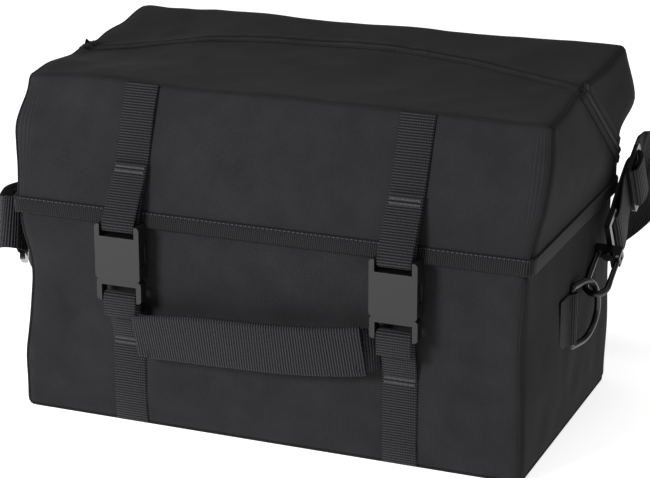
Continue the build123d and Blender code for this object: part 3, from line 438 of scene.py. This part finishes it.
def node(tree, kind, links=None, **values):
    """Adds a node, sets its inputs by name, and links others into it."""
    made = tree.nodes.new(kind)
    for key, value in values.items():
        if key in {"operation", "wave_type", "bands_direction", "blend_type", "data_type", "wave_profile"}:
            setattr(made, key, value)
        else:
            made.inputs[key.replace("_", " ")].default_value = value
    for key, source in (links or {}).items():
        tree.links.new(source, made.inputs[key])
    return made


def surface(name, code, rough, coat=0.0, metal=0.0, sheen=0.0, gloss=0.4):
    """A new material with its main shader set."""
    material = bpy.data.materials.new(name)
    material.use_nodes = True
    shader = material.node_tree.nodes["Principled BSDF"]
    shader.inputs["Base Color"].default_value = colour(code)
    shader.inputs["Roughness"].default_value = rough
    shader.inputs["Metallic"].default_value = metal
    shader.inputs["Coat Weight"].default_value = coat
    shader.inputs["Sheen Weight"].default_value = sheen
    shader.inputs["Sheen Roughness"].default_value = 0.4
    shader.inputs["Specular IOR Level"].default_value = gloss
    return material, material.node_tree, shader


def woven(name, code, light, pitch, depth, rough=0.75, sheen=0.25):
    """Plain-woven cloth: two crossing sets of yarns on the piece's own UV, slightly uneven."""
    material, tree, shader = surface(name, code, rough, sheen=sheen, gloss=0.12)
    uv = tree.nodes.new("ShaderNodeTexCoord").outputs["UV"]
    per_metre = 1 / (pitch * MM) / 2 * math.pi / 10
    warp, weft = (node(tree, "ShaderNodeTexWave", {"Vector": uv}, bands_direction=way, Scale=per_metre,
                       Distortion=0.4) for way in "XY")
    yarns = node(tree, "ShaderNodeMath", operation="MULTIPLY")
    tree.links.new(warp.outputs["Fac"], yarns.inputs[0])
    tree.links.new(weft.outputs["Fac"], yarns.inputs[1])
    place = tree.nodes.new("ShaderNodeTexCoord").outputs["Object"]
    wear = node(tree, "ShaderNodeTexNoise", {"Vector": place}, Scale=38.0, Detail=6.0, Roughness=0.6)
    mixed = node(tree, "ShaderNodeMath", operation="ADD")
    tree.links.new(yarns.outputs[0], mixed.inputs[0])
    tree.links.new(wear.outputs["Fac"], mixed.inputs[1])
    half = node(tree, "ShaderNodeMath", operation="MULTIPLY")
    tree.links.new(mixed.outputs[0], half.inputs[0])
    half.inputs[1].default_value = 0.6
    tint = node(tree, "ShaderNodeMix", {"Factor": half.outputs[0]}, data_type="RGBA")
    tint.inputs["A"].default_value = colour(code)
    tint.inputs["B"].default_value = colour(light)
    tree.links.new(tint.outputs["Result"], shader.inputs["Base Color"])
    relief = node(tree, "ShaderNodeBump", {"Height": yarns.outputs[0]}, Strength=0.5, Distance=depth * MM)
    tree.links.new(relief.outputs["Normal"], shader.inputs["Normal"])
    return material


def ribbed(name, code, light, pitch, depth, rough=0.6):
    """Webbing and ribbon: ribs across the width, with the yarns' fine grain."""
    material, tree, shader = surface(name, code, rough, sheen=0.02, gloss=0.12)
    uv = tree.nodes.new("ShaderNodeTexCoord").outputs["UV"]
    per_metre = 1 / (pitch * MM) * 2 * math.pi / 20
    ribs = node(tree, "ShaderNodeTexWave", {"Vector": uv}, bands_direction="Y", Scale=per_metre,
                Distortion=0.15)
    yarns = node(tree, "ShaderNodeTexWave", {"Vector": uv}, bands_direction="X", Scale=per_metre * 1.1)
    grain = node(tree, "ShaderNodeMath", operation="MULTIPLY_ADD")
    tree.links.new(yarns.outputs["Fac"], grain.inputs[0])
    grain.inputs[1].default_value = 0.3
    tree.links.new(ribs.outputs["Fac"], grain.inputs[2])
    tint = node(tree, "ShaderNodeMix", {"Factor": ribs.outputs["Fac"]}, data_type="RGBA")
    tint.inputs["A"].default_value = colour(code)
    tint.inputs["B"].default_value = colour(light)
    tree.links.new(tint.outputs["Result"], shader.inputs["Base Color"])
    relief = node(tree, "ShaderNodeBump", {"Height": grain.outputs[0]}, Strength=0.9, Distance=depth * MM)
    tree.links.new(relief.outputs["Normal"], shader.inputs["Normal"])
    return material


def moulded(name, code, rough, grain=0.0, metal=0.0, coat=0.0, edge=0.35):
    """Moulded or plated hard parts: softened edges, faint surface texture."""
    material, tree, shader = surface(name, code, rough, coat=coat, metal=metal)
    place = tree.nodes.new("ShaderNodeTexCoord").outputs["Object"]
    fine = node(tree, "ShaderNodeTexNoise", {"Vector": place}, Scale=2200.0, Detail=2.0)
    soft = node(tree, "ShaderNodeBevel", Radius=edge * MM)
    relief = node(tree, "ShaderNodeBump", {"Height": fine.outputs["Fac"], "Normal": soft.outputs["Normal"]},
                  Strength=grain, Distance=0.05 * MM)
    tree.links.new(relief.outputs["Normal"], shader.inputs["Normal"])
    smudge = node(tree, "ShaderNodeTexNoise", {"Vector": place}, Scale=60.0, Detail=4.0)
    spread = node(tree, "ShaderNodeMapRange", {"Value": smudge.outputs["Fac"]},
                  To_Min=max(rough - 0.08, 0.03), To_Max=rough + 0.1)
    tree.links.new(spread.outputs["Result"], shader.inputs["Roughness"])
    return material


# Cloths and webbings: matt, with the pitch and depth of their weave in millimetres.
CLOTH = woven("woven polyester", "#0f0f10", "#2a2a2c", 0.62, 0.22, rough=0.9, sheen=0.02)
WEBBING_FINISH = ribbed("polyester webbing", "#010101", "#2e2e31", 1.9, 0.8)
GROSGRAIN = ribbed("grosgrain binding", "#060607", "#1e1e20", 1.5, 0.32)
TAPE = ribbed("zip tape", "#060606", "#141415", 0.7, 0.15)
PIPING = woven("woven piping", "#0c0c0d", "#1f1f20", 0.7, 0.2, rough=0.85, sheen=0.02)
# Threads: a little lighter than the cloth.
THREAD = surface("polyester thread", "#3a3a3c", 0.5)[0]
THREAD_DARK = surface("dark polyester thread", "#1c1c1d", 0.5)[0]
# Plastics and metals.
COIL = moulded("nylon coil", "#161618", 0.35)
ACETAL = moulded("moulded acetal", "#0c0c0d", 0.42, grain=0.25)
PLATED = moulded("black plated wire", "#0c0c0d", 0.3, metal=0.3, coat=0.3, edge=0.5)
NYLON = moulded("glass-filled nylon", "#1b1b1e", 0.5, grain=0.4)
ZINC = moulded("zinc plated steel", "#a6a8ac", 0.3, metal=1.0)
BOARD = moulded("polyethylene board", "#1c1c1c", 0.55, grain=0.2)

CAD_FINISH = {
    "zip_slider": PLATED, "zip_pull": PLATED, "rack_rail": NYLON, "rack_hook": NYLON, "hook_latch": NYLON,
    "anchor_disc": NYLON, "anchor_finger": NYLON, "buckle": ACETAL, "d_ring": PLATED, "snap_hook": PLATED,
    "hook_gate": PLATED, "gate_pin": ZINC, "swivel_eye": PLATED, "strap_slider": PLATED, "latch_pins": ZINC,
    "rail_screws": ZINC, "rail_washers": ZINC, "hook_rivets": ZINC, "anchor_pin": ZINC,
    "back_board": BOARD, "base_board": BOARD,
}
for label, obj in NODES.items():
    for start, finish in CAD_FINISH.items():
        if label.startswith(start):
            obj.data.materials.clear()
            obj.data.materials.append(finish)


# ---- the body --------------------------------------------------------------------
X_STEPS, SIDE_STEPS = 94, 54
LOW_LEVELS, KINK = 37, 148.0
RIM_Y = -BODY_Y + (BODY_TOP - KINK) * 33 / 93


def box_patches(half_x, outline, levels):
    """Front, right, back and left walls between two heights; outline gives (front y, back y)."""
    (low_z, low_front, low_back), (high_z, high_front, high_back) = outline
    fl, fr = (-half_x, low_front, low_z), (half_x, low_front, low_z)
    bl, br = (-half_x, low_back, low_z), (half_x, low_back, low_z)
    tfl, tfr = (-half_x, high_front, high_z), (half_x, high_front, high_z)
    tbl, tbr = (-half_x, high_back, high_z), (half_x, high_back, high_z)
    return [patch(fl, fr, tfr, tfl, X_STEPS, levels), patch(fr, br, tbr, tfr, SIDE_STEPS, levels),
            patch(br, bl, tbl, tbr, X_STEPS, levels), patch(bl, fl, tfl, tbl, SIDE_STEPS, levels)]


body_parts = box_patches(BODY_X, ((0, -BODY_Y, BODY_Y), (KINK, -BODY_Y, BODY_Y)), LOW_LEVELS)
body_parts += box_patches(BODY_X, ((KINK, -BODY_Y, BODY_Y), (BODY_TOP, RIM_Y, BODY_Y)), 20)
body_parts.append(patch((-BODY_X, BODY_Y, 0), (BODY_X, BODY_Y, 0), (BODY_X, -BODY_Y, 0),
                        (-BODY_X, -BODY_Y, 0), X_STEPS, SIDE_STEPS))
shell("body shell", body_parts, body_sag, lambda middle: True, SHELL, material=CLOTH, body="bag",
      slot="shell_fabric",
      replaces=("base_panel", "front_panel", "back_panel", "gusset_left", "gusset_right"))

# ---- the hood --------------------------------------------------------------------
hfl, hfr = (-HOOD_X, -HOOD_Y, HEM), (HOOD_X, -HOOD_Y, HEM)
hbl, hbr = (-HOOD_X, HOOD_Y, HEM), (HOOD_X, HOOD_Y, HEM)
tfl, tfr = (-HOOD_X, *TOP_FRONT), (HOOD_X, *TOP_FRONT)
tbl, tbr = (-HOOD_X, *TOP_BACK), (HOOD_X, *TOP_BACK)
hood_parts = [patch(hfl, hfr, tfr, tfl, X_STEPS, 26), patch(hfr, hbr, tbr, tfr, SIDE_STEPS, 26),
              patch(hbr, hbl, tbl, tbr, X_STEPS, 26), patch(hbl, hfl, tfl, tbl, SIDE_STEPS, 26),
              patch(tfl, tfr, tbr, tbl, X_STEPS, SIDE_STEPS)]


def hood_has(middle):
    """Leaves out the wall under the hinge, where the hood joins the body."""
    return not (middle[1] > HOOD_Y - 1 and middle[2] < HINGE and abs(middle[0]) < HOOD_X - 1)


shell("hood shell", hood_parts, hood_sag, hood_has, SHELL, material=CLOTH, body="hood",
      slot="shell_fabric", replaces=("hood_front", "hood_back", "hood_top_front", "hood_top_rear",
                                     "hood_side_left", "hood_side_right", "hood_rear_corners"))


# ---- lines that follow the sagging shells -------------------------------------------
def top_height(y):
    """Height of the crisp hood top at a depth."""
    return TOP_FRONT[1] + (y - TOP_FRONT[0]) * (TOP_BACK[1] - TOP_FRONT[1]) / (TOP_BACK[0] - TOP_FRONT[0])


def front_depth(z):
    """Depth of the crisp hood front at a height."""
    return -HOOD_Y + (z - HEM) * (TOP_FRONT[0] + HOOD_Y) / (TOP_FRONT[1] - HEM)


def zip_line(offset=0.0):
    """The zip's run on the crisp hood, moved towards the rear by an offset."""
    rise = ZIP_MIDDLE_Y - ZIP_SIDE_Y
    radius = (HOOD_X**2 + rise**2) / (2 * rise)
    centre_y = ZIP_MIDDLE_Y - radius
    xs = np.linspace(-HOOD_X, HOOD_X, 121)
    ys = centre_y + np.sqrt((radius + offset) ** 2 - xs**2)
    top = [(x, y, top_height(y)) for x, y in zip(xs, ys)]
    run = np.array((ZIP_SIDE_Y - HOOD_Y, top_height(ZIP_SIDE_Y) - ZIP_END_Z))
    across = np.array((run[1], -run[0])) / np.linalg.norm(run)
    foot = np.array((HOOD_Y, ZIP_END_Z)) + offset * across
    left = [(-HOOD_X, *foot)]
    return left + top + [(HOOD_X, *foot)]


def zip_wides(line):
    """The direction across the zip, towards the rear, at each point of its line."""
    side = np.abs(line[:, 0]) > HOOD_X - 0.5
    return np.where(side[:, None], (0, 0.569, 0.822), (0, 1, 0.077))


zip_path, _ = resample(zip_line(), 2.5)
zip_across = zip_wides(zip_path)
zip_up = np.where(np.abs(zip_path[:, :1]) > HOOD_X - 0.5, (1, 0, 0) * np.sign(zip_path[:, :1]),
                  (0, -0.077, 1))


def beside_zip(offset, lift):
    """The zip's line moved across the zip and up off the cloth."""
    placed = hood_sag(zip_path + offset * zip_across)
    return placed + lift * zip_up


webbing("zip tape strip", beside_zip(0, 0.1), zip_across, 13, 0.9, material=TAPE, body="hood",
        slot="zip_tape", replaces=("zip_tape",))
webbing("zip front welt", beside_zip(-5.6, 0.7), zip_across, 5.6, 2.0, material=CLOTH, body="hood",
        slot="shell_fabric")
webbing("zip rear welt", beside_zip(5.4, 0.5), zip_across, 5.0, 1.5, material=CLOTH, body="hood",
        slot="shell_fabric")
STITCH = pattern_item("stitch item", stitch)
RING = pattern_item("coil item", coil_ring)
coil = row("zip coil turns", [beside_zip(0, 0.25)], RING, COIL_PITCH, COIL, "hood")
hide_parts("zip_coil")
row("zip stitching", [beside_zip(8.6, 0.25), beside_zip(-9.2, 0.25)], STITCH, STITCH_PITCH, THREAD_DARK,
    "hood")

HOOD_SEAMS = {
    "front top": ((-HOOD_X, *TOP_FRONT), (HOOD_X, *TOP_FRONT)),
    "back top": ((-HOOD_X, *TOP_BACK), (HOOD_X, *TOP_BACK)),
    "left top": ((-HOOD_X, *TOP_FRONT), (-HOOD_X, *TOP_BACK)),
    "right top": ((HOOD_X, *TOP_FRONT), (HOOD_X, *TOP_BACK)),
    "left front": ((-HOOD_X, -HOOD_Y, HEM + 8), (-HOOD_X, *TOP_FRONT)),
    "right front": ((HOOD_X, -HOOD_Y, HEM + 8), (HOOD_X, *TOP_FRONT)),
    "left back": ((-HOOD_X, HOOD_Y, HINGE), (-HOOD_X, *TOP_BACK)),
    "right back": ((HOOD_X, HOOD_Y, HINGE), (HOOD_X, *TOP_BACK)),
}
for label, ends in HOOD_SEAMS.items():
    line, _ = resample(ends, 4.0)
    tube("hood seam " + label, hood_sag(line), HOOD_SEAM, material=PIPING, body="hood", slot="piping")

BODY_SEAMS = {
    "front left": ((-BODY_X, -BODY_Y, 2), (-BODY_X, -BODY_Y, 145)),
    "front right": ((BODY_X, -BODY_Y, 2), (BODY_X, -BODY_Y, 145)),
    "back left": ((-BODY_X, BODY_Y, 2), (-BODY_X, BODY_Y, HINGE)),
    "back right": ((BODY_X, BODY_Y, 2), (BODY_X, BODY_Y, HINGE)),
    "foot front": ((-BODY_X, -BODY_Y, 0), (BODY_X, -BODY_Y, 0)),
    "foot left": ((-BODY_X, -BODY_Y, 0), (-BODY_X, BODY_Y, 0)),
    "foot right": ((BODY_X, -BODY_Y, 0), (BODY_X, BODY_Y, 0)),
    "foot back": ((-BODY_X, BODY_Y, 0), (BODY_X, BODY_Y, 0)),
}
for label, ends in BODY_SEAMS.items():
    line, _ = resample(ends, 4.0)
    piece = tube("body seam " + label, body_sag(line), BODY_SEAM, material=PIPING, body="bag", slot="piping")
    if label == "front left":
        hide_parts("corner_piping")

# ---- hem binding -------------------------------------------------------------------
z = HEM + 5.0
hem_line, _ = resample([(-HOOD_X, HOOD_Y, z), (-HOOD_X, front_depth(z), z), (HOOD_X, front_depth(z), z),
                        (HOOD_X, HOOD_Y, z)], 2.0)
hem_soft = hood_sag(hem_line)
on_front = np.abs(hem_line[:, :1]) < HOOD_X - 0.5
hem_out = np.where(on_front, (0, -1, 0.35), np.sign(hem_line[:, :1]) * (1, 0, 0))
hem_wide = np.where(on_front, (0, 0.335, 0.942), (0, 0.02, 1))
webbing("hem ribbon", hem_soft + 0.35 * hem_out, hem_wide, HEM_WIDTH, HEM_THICKNESS, material=GROSGRAIN,
        body="hood", slot="binding", replaces=("hem_binding",))
row("hem stitching", [hood_sag(hem_line + (0, 0, 4.4)) + 1.5 * hem_out], STITCH, STITCH_PITCH, THREAD, "hood")


# ---- closing straps ------------------------------------------------------------------
def strap_end(name, line, x, body, piece, hold):
    """One closing strap at x, along a (y, z) line, with its bar-tacks; gives its length."""
    points, _ = resample(smooth_path([(x, y, z) for y, z in line]), 1.2)
    _, length = webbing(name, points, np.tile((1.0, 0, 0), (len(points), 1)), STRAP_WIDTH, WEBBING,
                           material=WEBBING_FINISH, body=body, slot="webbing", replaces=(piece,))
    rows = [[(x - TACK_HALF, *p), (x + TACK_HALF, *p)] for p in hold]
    row(name + " bar-tack", rows, TACK, TACK_PITCH, THREAD, body)
    return length


def tack(b):
    """One stitch of a bar-tack, across the row."""
    bmesh.ops.create_uvsphere(b, u_segments=6, v_segments=4, radius=1)
    for v in b.verts:
        v.co = Vector((v.co.x * 0.3, v.co.y * 1.3, v.co.z * 0.38)) * MM


TACK = pattern_item("tack item", tack)


def hood_front_at(x, z, lift):
    """(y, z) of the sagged hood front at a crisp height, lifted off the cloth."""
    p = hood_sag(np.array([(x, front_depth(z), z)], float))[0]
    return (p[1] - 0.94 * lift, p[2] + 0.335 * lift)


def body_front_at(x, z, lift):
    """(y, z) of the sagged body front at a height, lifted off the cloth."""
    p = body_sag(np.array([(x, -BODY_Y, z)], float))[0]
    return (p[1] - lift, z)


STRAP_LENGTHS = {}
for name, side in SIDES.items():
    x = side * STRAP_X
    down = [hood_front_at(x, z, 1.0) for z in (240, 232, 222, 212, 202, 193, 185)]
    line = down + [(-112.25, 151.5), (-112.25, 146.0), (-118.75, 146.0), (-118.75, 153.0)]
    line += [hood_front_at(x, 182, 3.4), hood_front_at(x, 189, 2.8)]
    STRAP_LENGTHS["upper " + name] = strap_end(f"upper strap webbing {name}", line, x, "hood",
                                               f"upper_strap_{name}", [hood_front_at(x, 186, 3.9),
                                                                       hood_front_at(x, 183, 4.3)])
    up = [body_front_at(x, z, 1.0) for z in (2, 12, 24, 36, 48, 58, 65)]
    line = up + [(-112.25, 94.5), (-112.25, 101.5), (-118.75, 101.5), (-118.75, 94.0), (-118.0, 84.0)]
    STRAP_LENGTHS["lower " + name] = strap_end(f"lower strap webbing {name}", line, x, "bag",
                                               f"lower_strap_{name}", [body_front_at(x, 64, 2.0),
                                                                       body_front_at(x, 61, 2.0)])

# ---- handle --------------------------------------------------------------------------
# The padded grip hangs crooked: shifted and dropped towards the left, where it is squeezed narrower.
GRIP_ARCH = [(-88, -119.2), (-84, -120.0), (-62, -121.9), (-34, -123.3), (-8, -124.0),
             (20, -123.6), (44, -122.8), (62, -121.4), (74, -120.0), (80, -118.8)]
HANDLE_END = {"left": [(-86.5, -106.8), (-87.6, -109.6), (-88.0, -113.6), (-86.5, -117.0), (-80, -119.8)],
              "right": [(86.5, -106.8), (86.0, -109.6), (84.0, -113.6), (80.0, -117.0), (73.0, -120.0)]}


def handle_height(x):
    """Centre height of the crooked handle at x."""
    return 72.5 + 0.075 * (x + 88) + 1.2 * math.sin((x + 88) / 26)


line, _ = resample(smooth_path([(x, y, handle_height(x)) for x, y in GRIP_ARCH]), 1.3)
lean = np.interp(line[:, 0], (-88, -66, -30, 80), (0.4, 0.26, 0.06, 0.0))
wide = np.stack([lean, -0.16 * np.ones(len(line)), np.sqrt(1 - lean**2)], 1)
grip_width = np.interp(line[:, 0], (-88, -74, -42, 80), (31.0, 34.0, 37.0, 37.5))
webbing("handle grip webbing", line, wide, grip_width, GRIP_THICKNESS, material=WEBBING_FINISH, body="handle",
        slot="webbing", replaces=("handle_grip",))
for name, points in HANDLE_END.items():
    line, _ = resample(smooth_path([(x, y, handle_height(x)) for x, y in points]), 1.0)
    piece, _ = webbing(f"handle end {name}", line, np.tile((0, 0, 1.0), (len(line), 1)), HANDLE_END_WIDTH,
                       HANDLE_END_THICKNESS, material=WEBBING_FINISH, body=None, slot="webbing",
                       replaces=("handle_ends",))
    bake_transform(piece)

# ---- ring tabs and shoulder strap --------------------------------------------------------
TAB = [(188.4, -36), (188.4, -15), (189.3, -9), (192.6, -7.2), (195.2, -10.4), (194.0, -14.5), (190.6, -17.5),
       (190.2, -36)]
for name, side in SIDES.items():
    line, _ = resample(smooth_path([(side * x, y, 88) for x, y in TAB]), 1.2)
    webbing(f"ring tab {name}", line, np.tile((0, 0, 1.0), (len(line), 1)), SHOULDER_WIDTH, SHOULDER_WEBBING,
            material=WEBBING_FINISH, body="bag", slot="webbing", replaces=("ring_tabs",))

# Each hook's plane: its origin, along the strap, across the hook, and its normal.
RIGHT = [np.array(v) for v in ((199.405, 16.314, 97.381), (0.03, 0.83989, 0.54193),
                               (0.99955, -0.0252, -0.01626), (0, 0.54217, -0.84027))]
LEFT = [np.array(v) for v in ((-222.424, -23.407, 94.446), (0.33018, -0.80044, 0.50028),
                              (0.92444, 0.38133, 0), (-0.19077, 0.46247, 0.86587))]
# The webbing round the slider and round the left eye, in the hooks' planes.
SLIDER_LOOP = [(106.4, 0), (106.4, 2.6), (113.6, 2.6), (113.6, -4.5), (96, -4.5), (54.8, -3.1), (54.8, 3.1),
               (63.9, 3.1), (92, -2.6), (100.1, -2.6), (100.1, 5.8), (119.9, 5.8), (119.9, -2.6), (132, -2.6)]
EYE_LOOP = [(68.7, 0), (64.7, 0), (59.9, 3.1), (54.8, 3.1), (54.8, -3.1), (60, -3.1), (72, -2.2)]
# The free run behind the bag and along the left side: place, and direction of the width.
REAR_RUN = [((206.2, 142, 166), (0, -0.1, 1)), ((207, 157, 156), (-0.1, 0.35, 0.93)),
            ((204, 167, 138), (-0.3, 0.6, 0.75)), ((192, 171, 116), (-0.45, 0.75, 0.5)),
            ((165, 169, 88), (-0.4, 0.87, 0.3)), ((125, 163, 58), (-0.25, 0.95, 0.2)),
            ((75, 156, 34), (-0.1, 0.99, 0.1)), ((24.7, 151, 22), (0, 1, 0)), ((-24.7, 151, 21), (0, 1, 0)),
            ((-75, 155, 27), (0.1, 0.98, 0.15)), ((-125, 160, 40), (0.2, 0.92, 0.3)),
            ((-165, 160, 56), (0.3, 0.75, 0.6)), ((-190, 153, 68), (0.2, 0.5, 0.85)),
            ((-204, 140, 77), (0.05, 0.2, 0.97))]
LEFT_RUN = [((-208, 119.8, 84), (0, -0.1, 1)), ((-213, 95.2, 92), (0, 0, 1)), ((-221, 59.9, 103), (0, 0, 1)),
            ((-228, 20.3, 113), (0, 0.1, 1)), ((-231, -15, 121), (0, 0.15, 1)),
            ((-231, -42.8, 125), (-0.05, 0.25, 0.97)), ((-225, -64.2, 126), (-0.12, 0.4, 0.9)),
            ((-218, -78.1, 127.5), (-0.19, 0.46, 0.87)), ((-211, -85.6, 131), (-0.19, 0.46, 0.87)),
            ((-204.5, -85.1, 131.5), (-0.19, 0.46, 0.87))]


def in_plane(plane, points):
    """Points given in a hook's own plane, placed in the frame."""
    origin, along, across, _ = plane
    return np.array([origin + a * along + b * across for a, b in points])


def spline(points, per_span=10):
    """A smooth curve through every point."""
    p = np.array(points, float)
    p = np.vstack([2 * p[0] - p[1], p, 2 * p[-1] - p[-2]])
    out = []
    for i in range(1, len(p) - 2):
        for t in np.linspace(0, 1, per_span, endpoint=False):
            a, b, c, d = p[i - 1], p[i], p[i + 1], p[i + 2]
            out.append(0.5 * (2 * b + (c - a) * t + (2 * a - 5 * b + 4 * c - d) * t * t
                              + (3 * b - a - 3 * c + d) * t**3))
    return np.array(out + [p[-2]])


stations = [in_plane(RIGHT, SLIDER_LOOP[-1:])[0], *(np.array(p, float) for p, _ in REAR_RUN + LEFT_RUN),
            in_plane(LEFT, EYE_LOOP[:1])[0]]
station_wides = [-RIGHT[3], *(np.array(w, float) for _, w in REAR_RUN + LEFT_RUN), LEFT[3]]
slider_part = smooth_path(in_plane(RIGHT, SLIDER_LOOP))
eye_part = smooth_path(in_plane(LEFT, EYE_LOOP))
strap_line = np.vstack([slider_part[:-1], spline(stations), eye_part[1:]])
strap_wide = np.vstack([np.tile(-RIGHT[3], (len(slider_part) - 1, 1)), spline(station_wides),
                        np.tile(LEFT[3], (len(eye_part) - 1, 1))])
arc = np.concatenate([[0], np.cumsum(np.linalg.norm(np.diff(strap_line, axis=0), axis=1))])
strap_even, strap_length = resample(strap_line, 1.4)
at = np.linspace(0, arc[-1], len(strap_even))
wide_even = np.stack([np.interp(at, arc, strap_wide[:, k]) for k in range(3)], 1)
strap, _ = webbing("shoulder strap webbing", strap_even, wide_even, SHOULDER_WIDTH, SHOULDER_WEBBING,
                   material=WEBBING_FINISH, body="bag", slot="webbing", replaces=("shoulder_strap",))

for item in (STITCH, RING, TACK):
    bpy.data.objects.remove(item)

# ---- floor, light and camera ---------------------------------------------------------
FLOOR_HALF, FLOOR_GLOW, SKY = 6, 0.75, 0.2
AIM = (0, 0, 0.12)

floor_mesh = bpy.data.meshes.new("floor")
reach = FLOOR_HALF
floor_mesh.from_pydata([(-reach, -reach, 0), (reach, -reach, 0), (reach, reach, 0), (-reach, reach, 0)], [],
                       [(0, 1, 2, 3)])
paper, _, paper_shader = surface("pale studio floor", "#fafafa", 0.9)
paper_shader.inputs["Emission Color"].default_value = colour("#ffffff")
paper_shader.inputs["Emission Strength"].default_value = FLOOR_GLOW
floor_mesh.materials.append(paper)
floor = bpy.data.objects.new("floor", floor_mesh)
bpy.context.scene.collection.objects.link(floor)

bpy.context.scene.view_settings.view_transform = "Standard"
world = bpy.data.worlds.new("studio")
bpy.context.scene.world = world
world.use_nodes = True
world.node_tree.nodes["Background"].inputs["Color"].default_value = colour("#ffffff")
world.node_tree.nodes["Background"].inputs["Strength"].default_value = SKY


def soft_light(name, place, size, power):
    """A square studio light aimed at the bag."""
    lamp = bpy.data.lights.new(name, "AREA")
    lamp.size, lamp.energy = size, power
    obj = bpy.data.objects.new(name, lamp)
    obj.location = place
    obj.rotation_euler = (Vector(AIM) - Vector(place)).to_track_quat("-Z", "Y").to_euler()
    bpy.context.scene.collection.objects.link(obj)


soft_light("overhead", (-0.2, -0.3, 1.7), 1.5, 9)
soft_light("front left", (-0.9, -1.8, 0.9), 0.6, 54)
soft_light("right", (1.9, -0.3, 0.8), 0.8, 2)

YAW, PITCH, DISTANCE, FOCAL = math.radians(22.2), math.radians(18.1), 1.580, 121.85
BAG_MIDDLE, SHIFT_RIGHT, SHIFT_DOWN = 0.127, 0.0036, 0.0086
back = Vector((math.sin(YAW) * math.cos(PITCH), -math.cos(YAW) * math.cos(PITCH), math.sin(PITCH)))
right = Vector((math.cos(YAW), math.sin(YAW), 0))
up = back.cross(right)
lens = bpy.data.cameras.new("camera")
lens.lens, lens.sensor_width = FOCAL, 36
lens.clip_start, lens.clip_end = 0.01, 60
camera = bpy.data.objects.new("camera", lens)
camera.location = Vector((0, 0, BAG_MIDDLE)) + back * DISTANCE + right * SHIFT_RIGHT - up * SHIFT_DOWN
camera.rotation_mode = "QUATERNION"
camera.rotation_quaternion = (-back).to_track_quat("-Z", "Y")
bpy.context.scene.collection.objects.link(camera)
bpy.context.scene.camera = camera

bpy.context.view_layer.update()
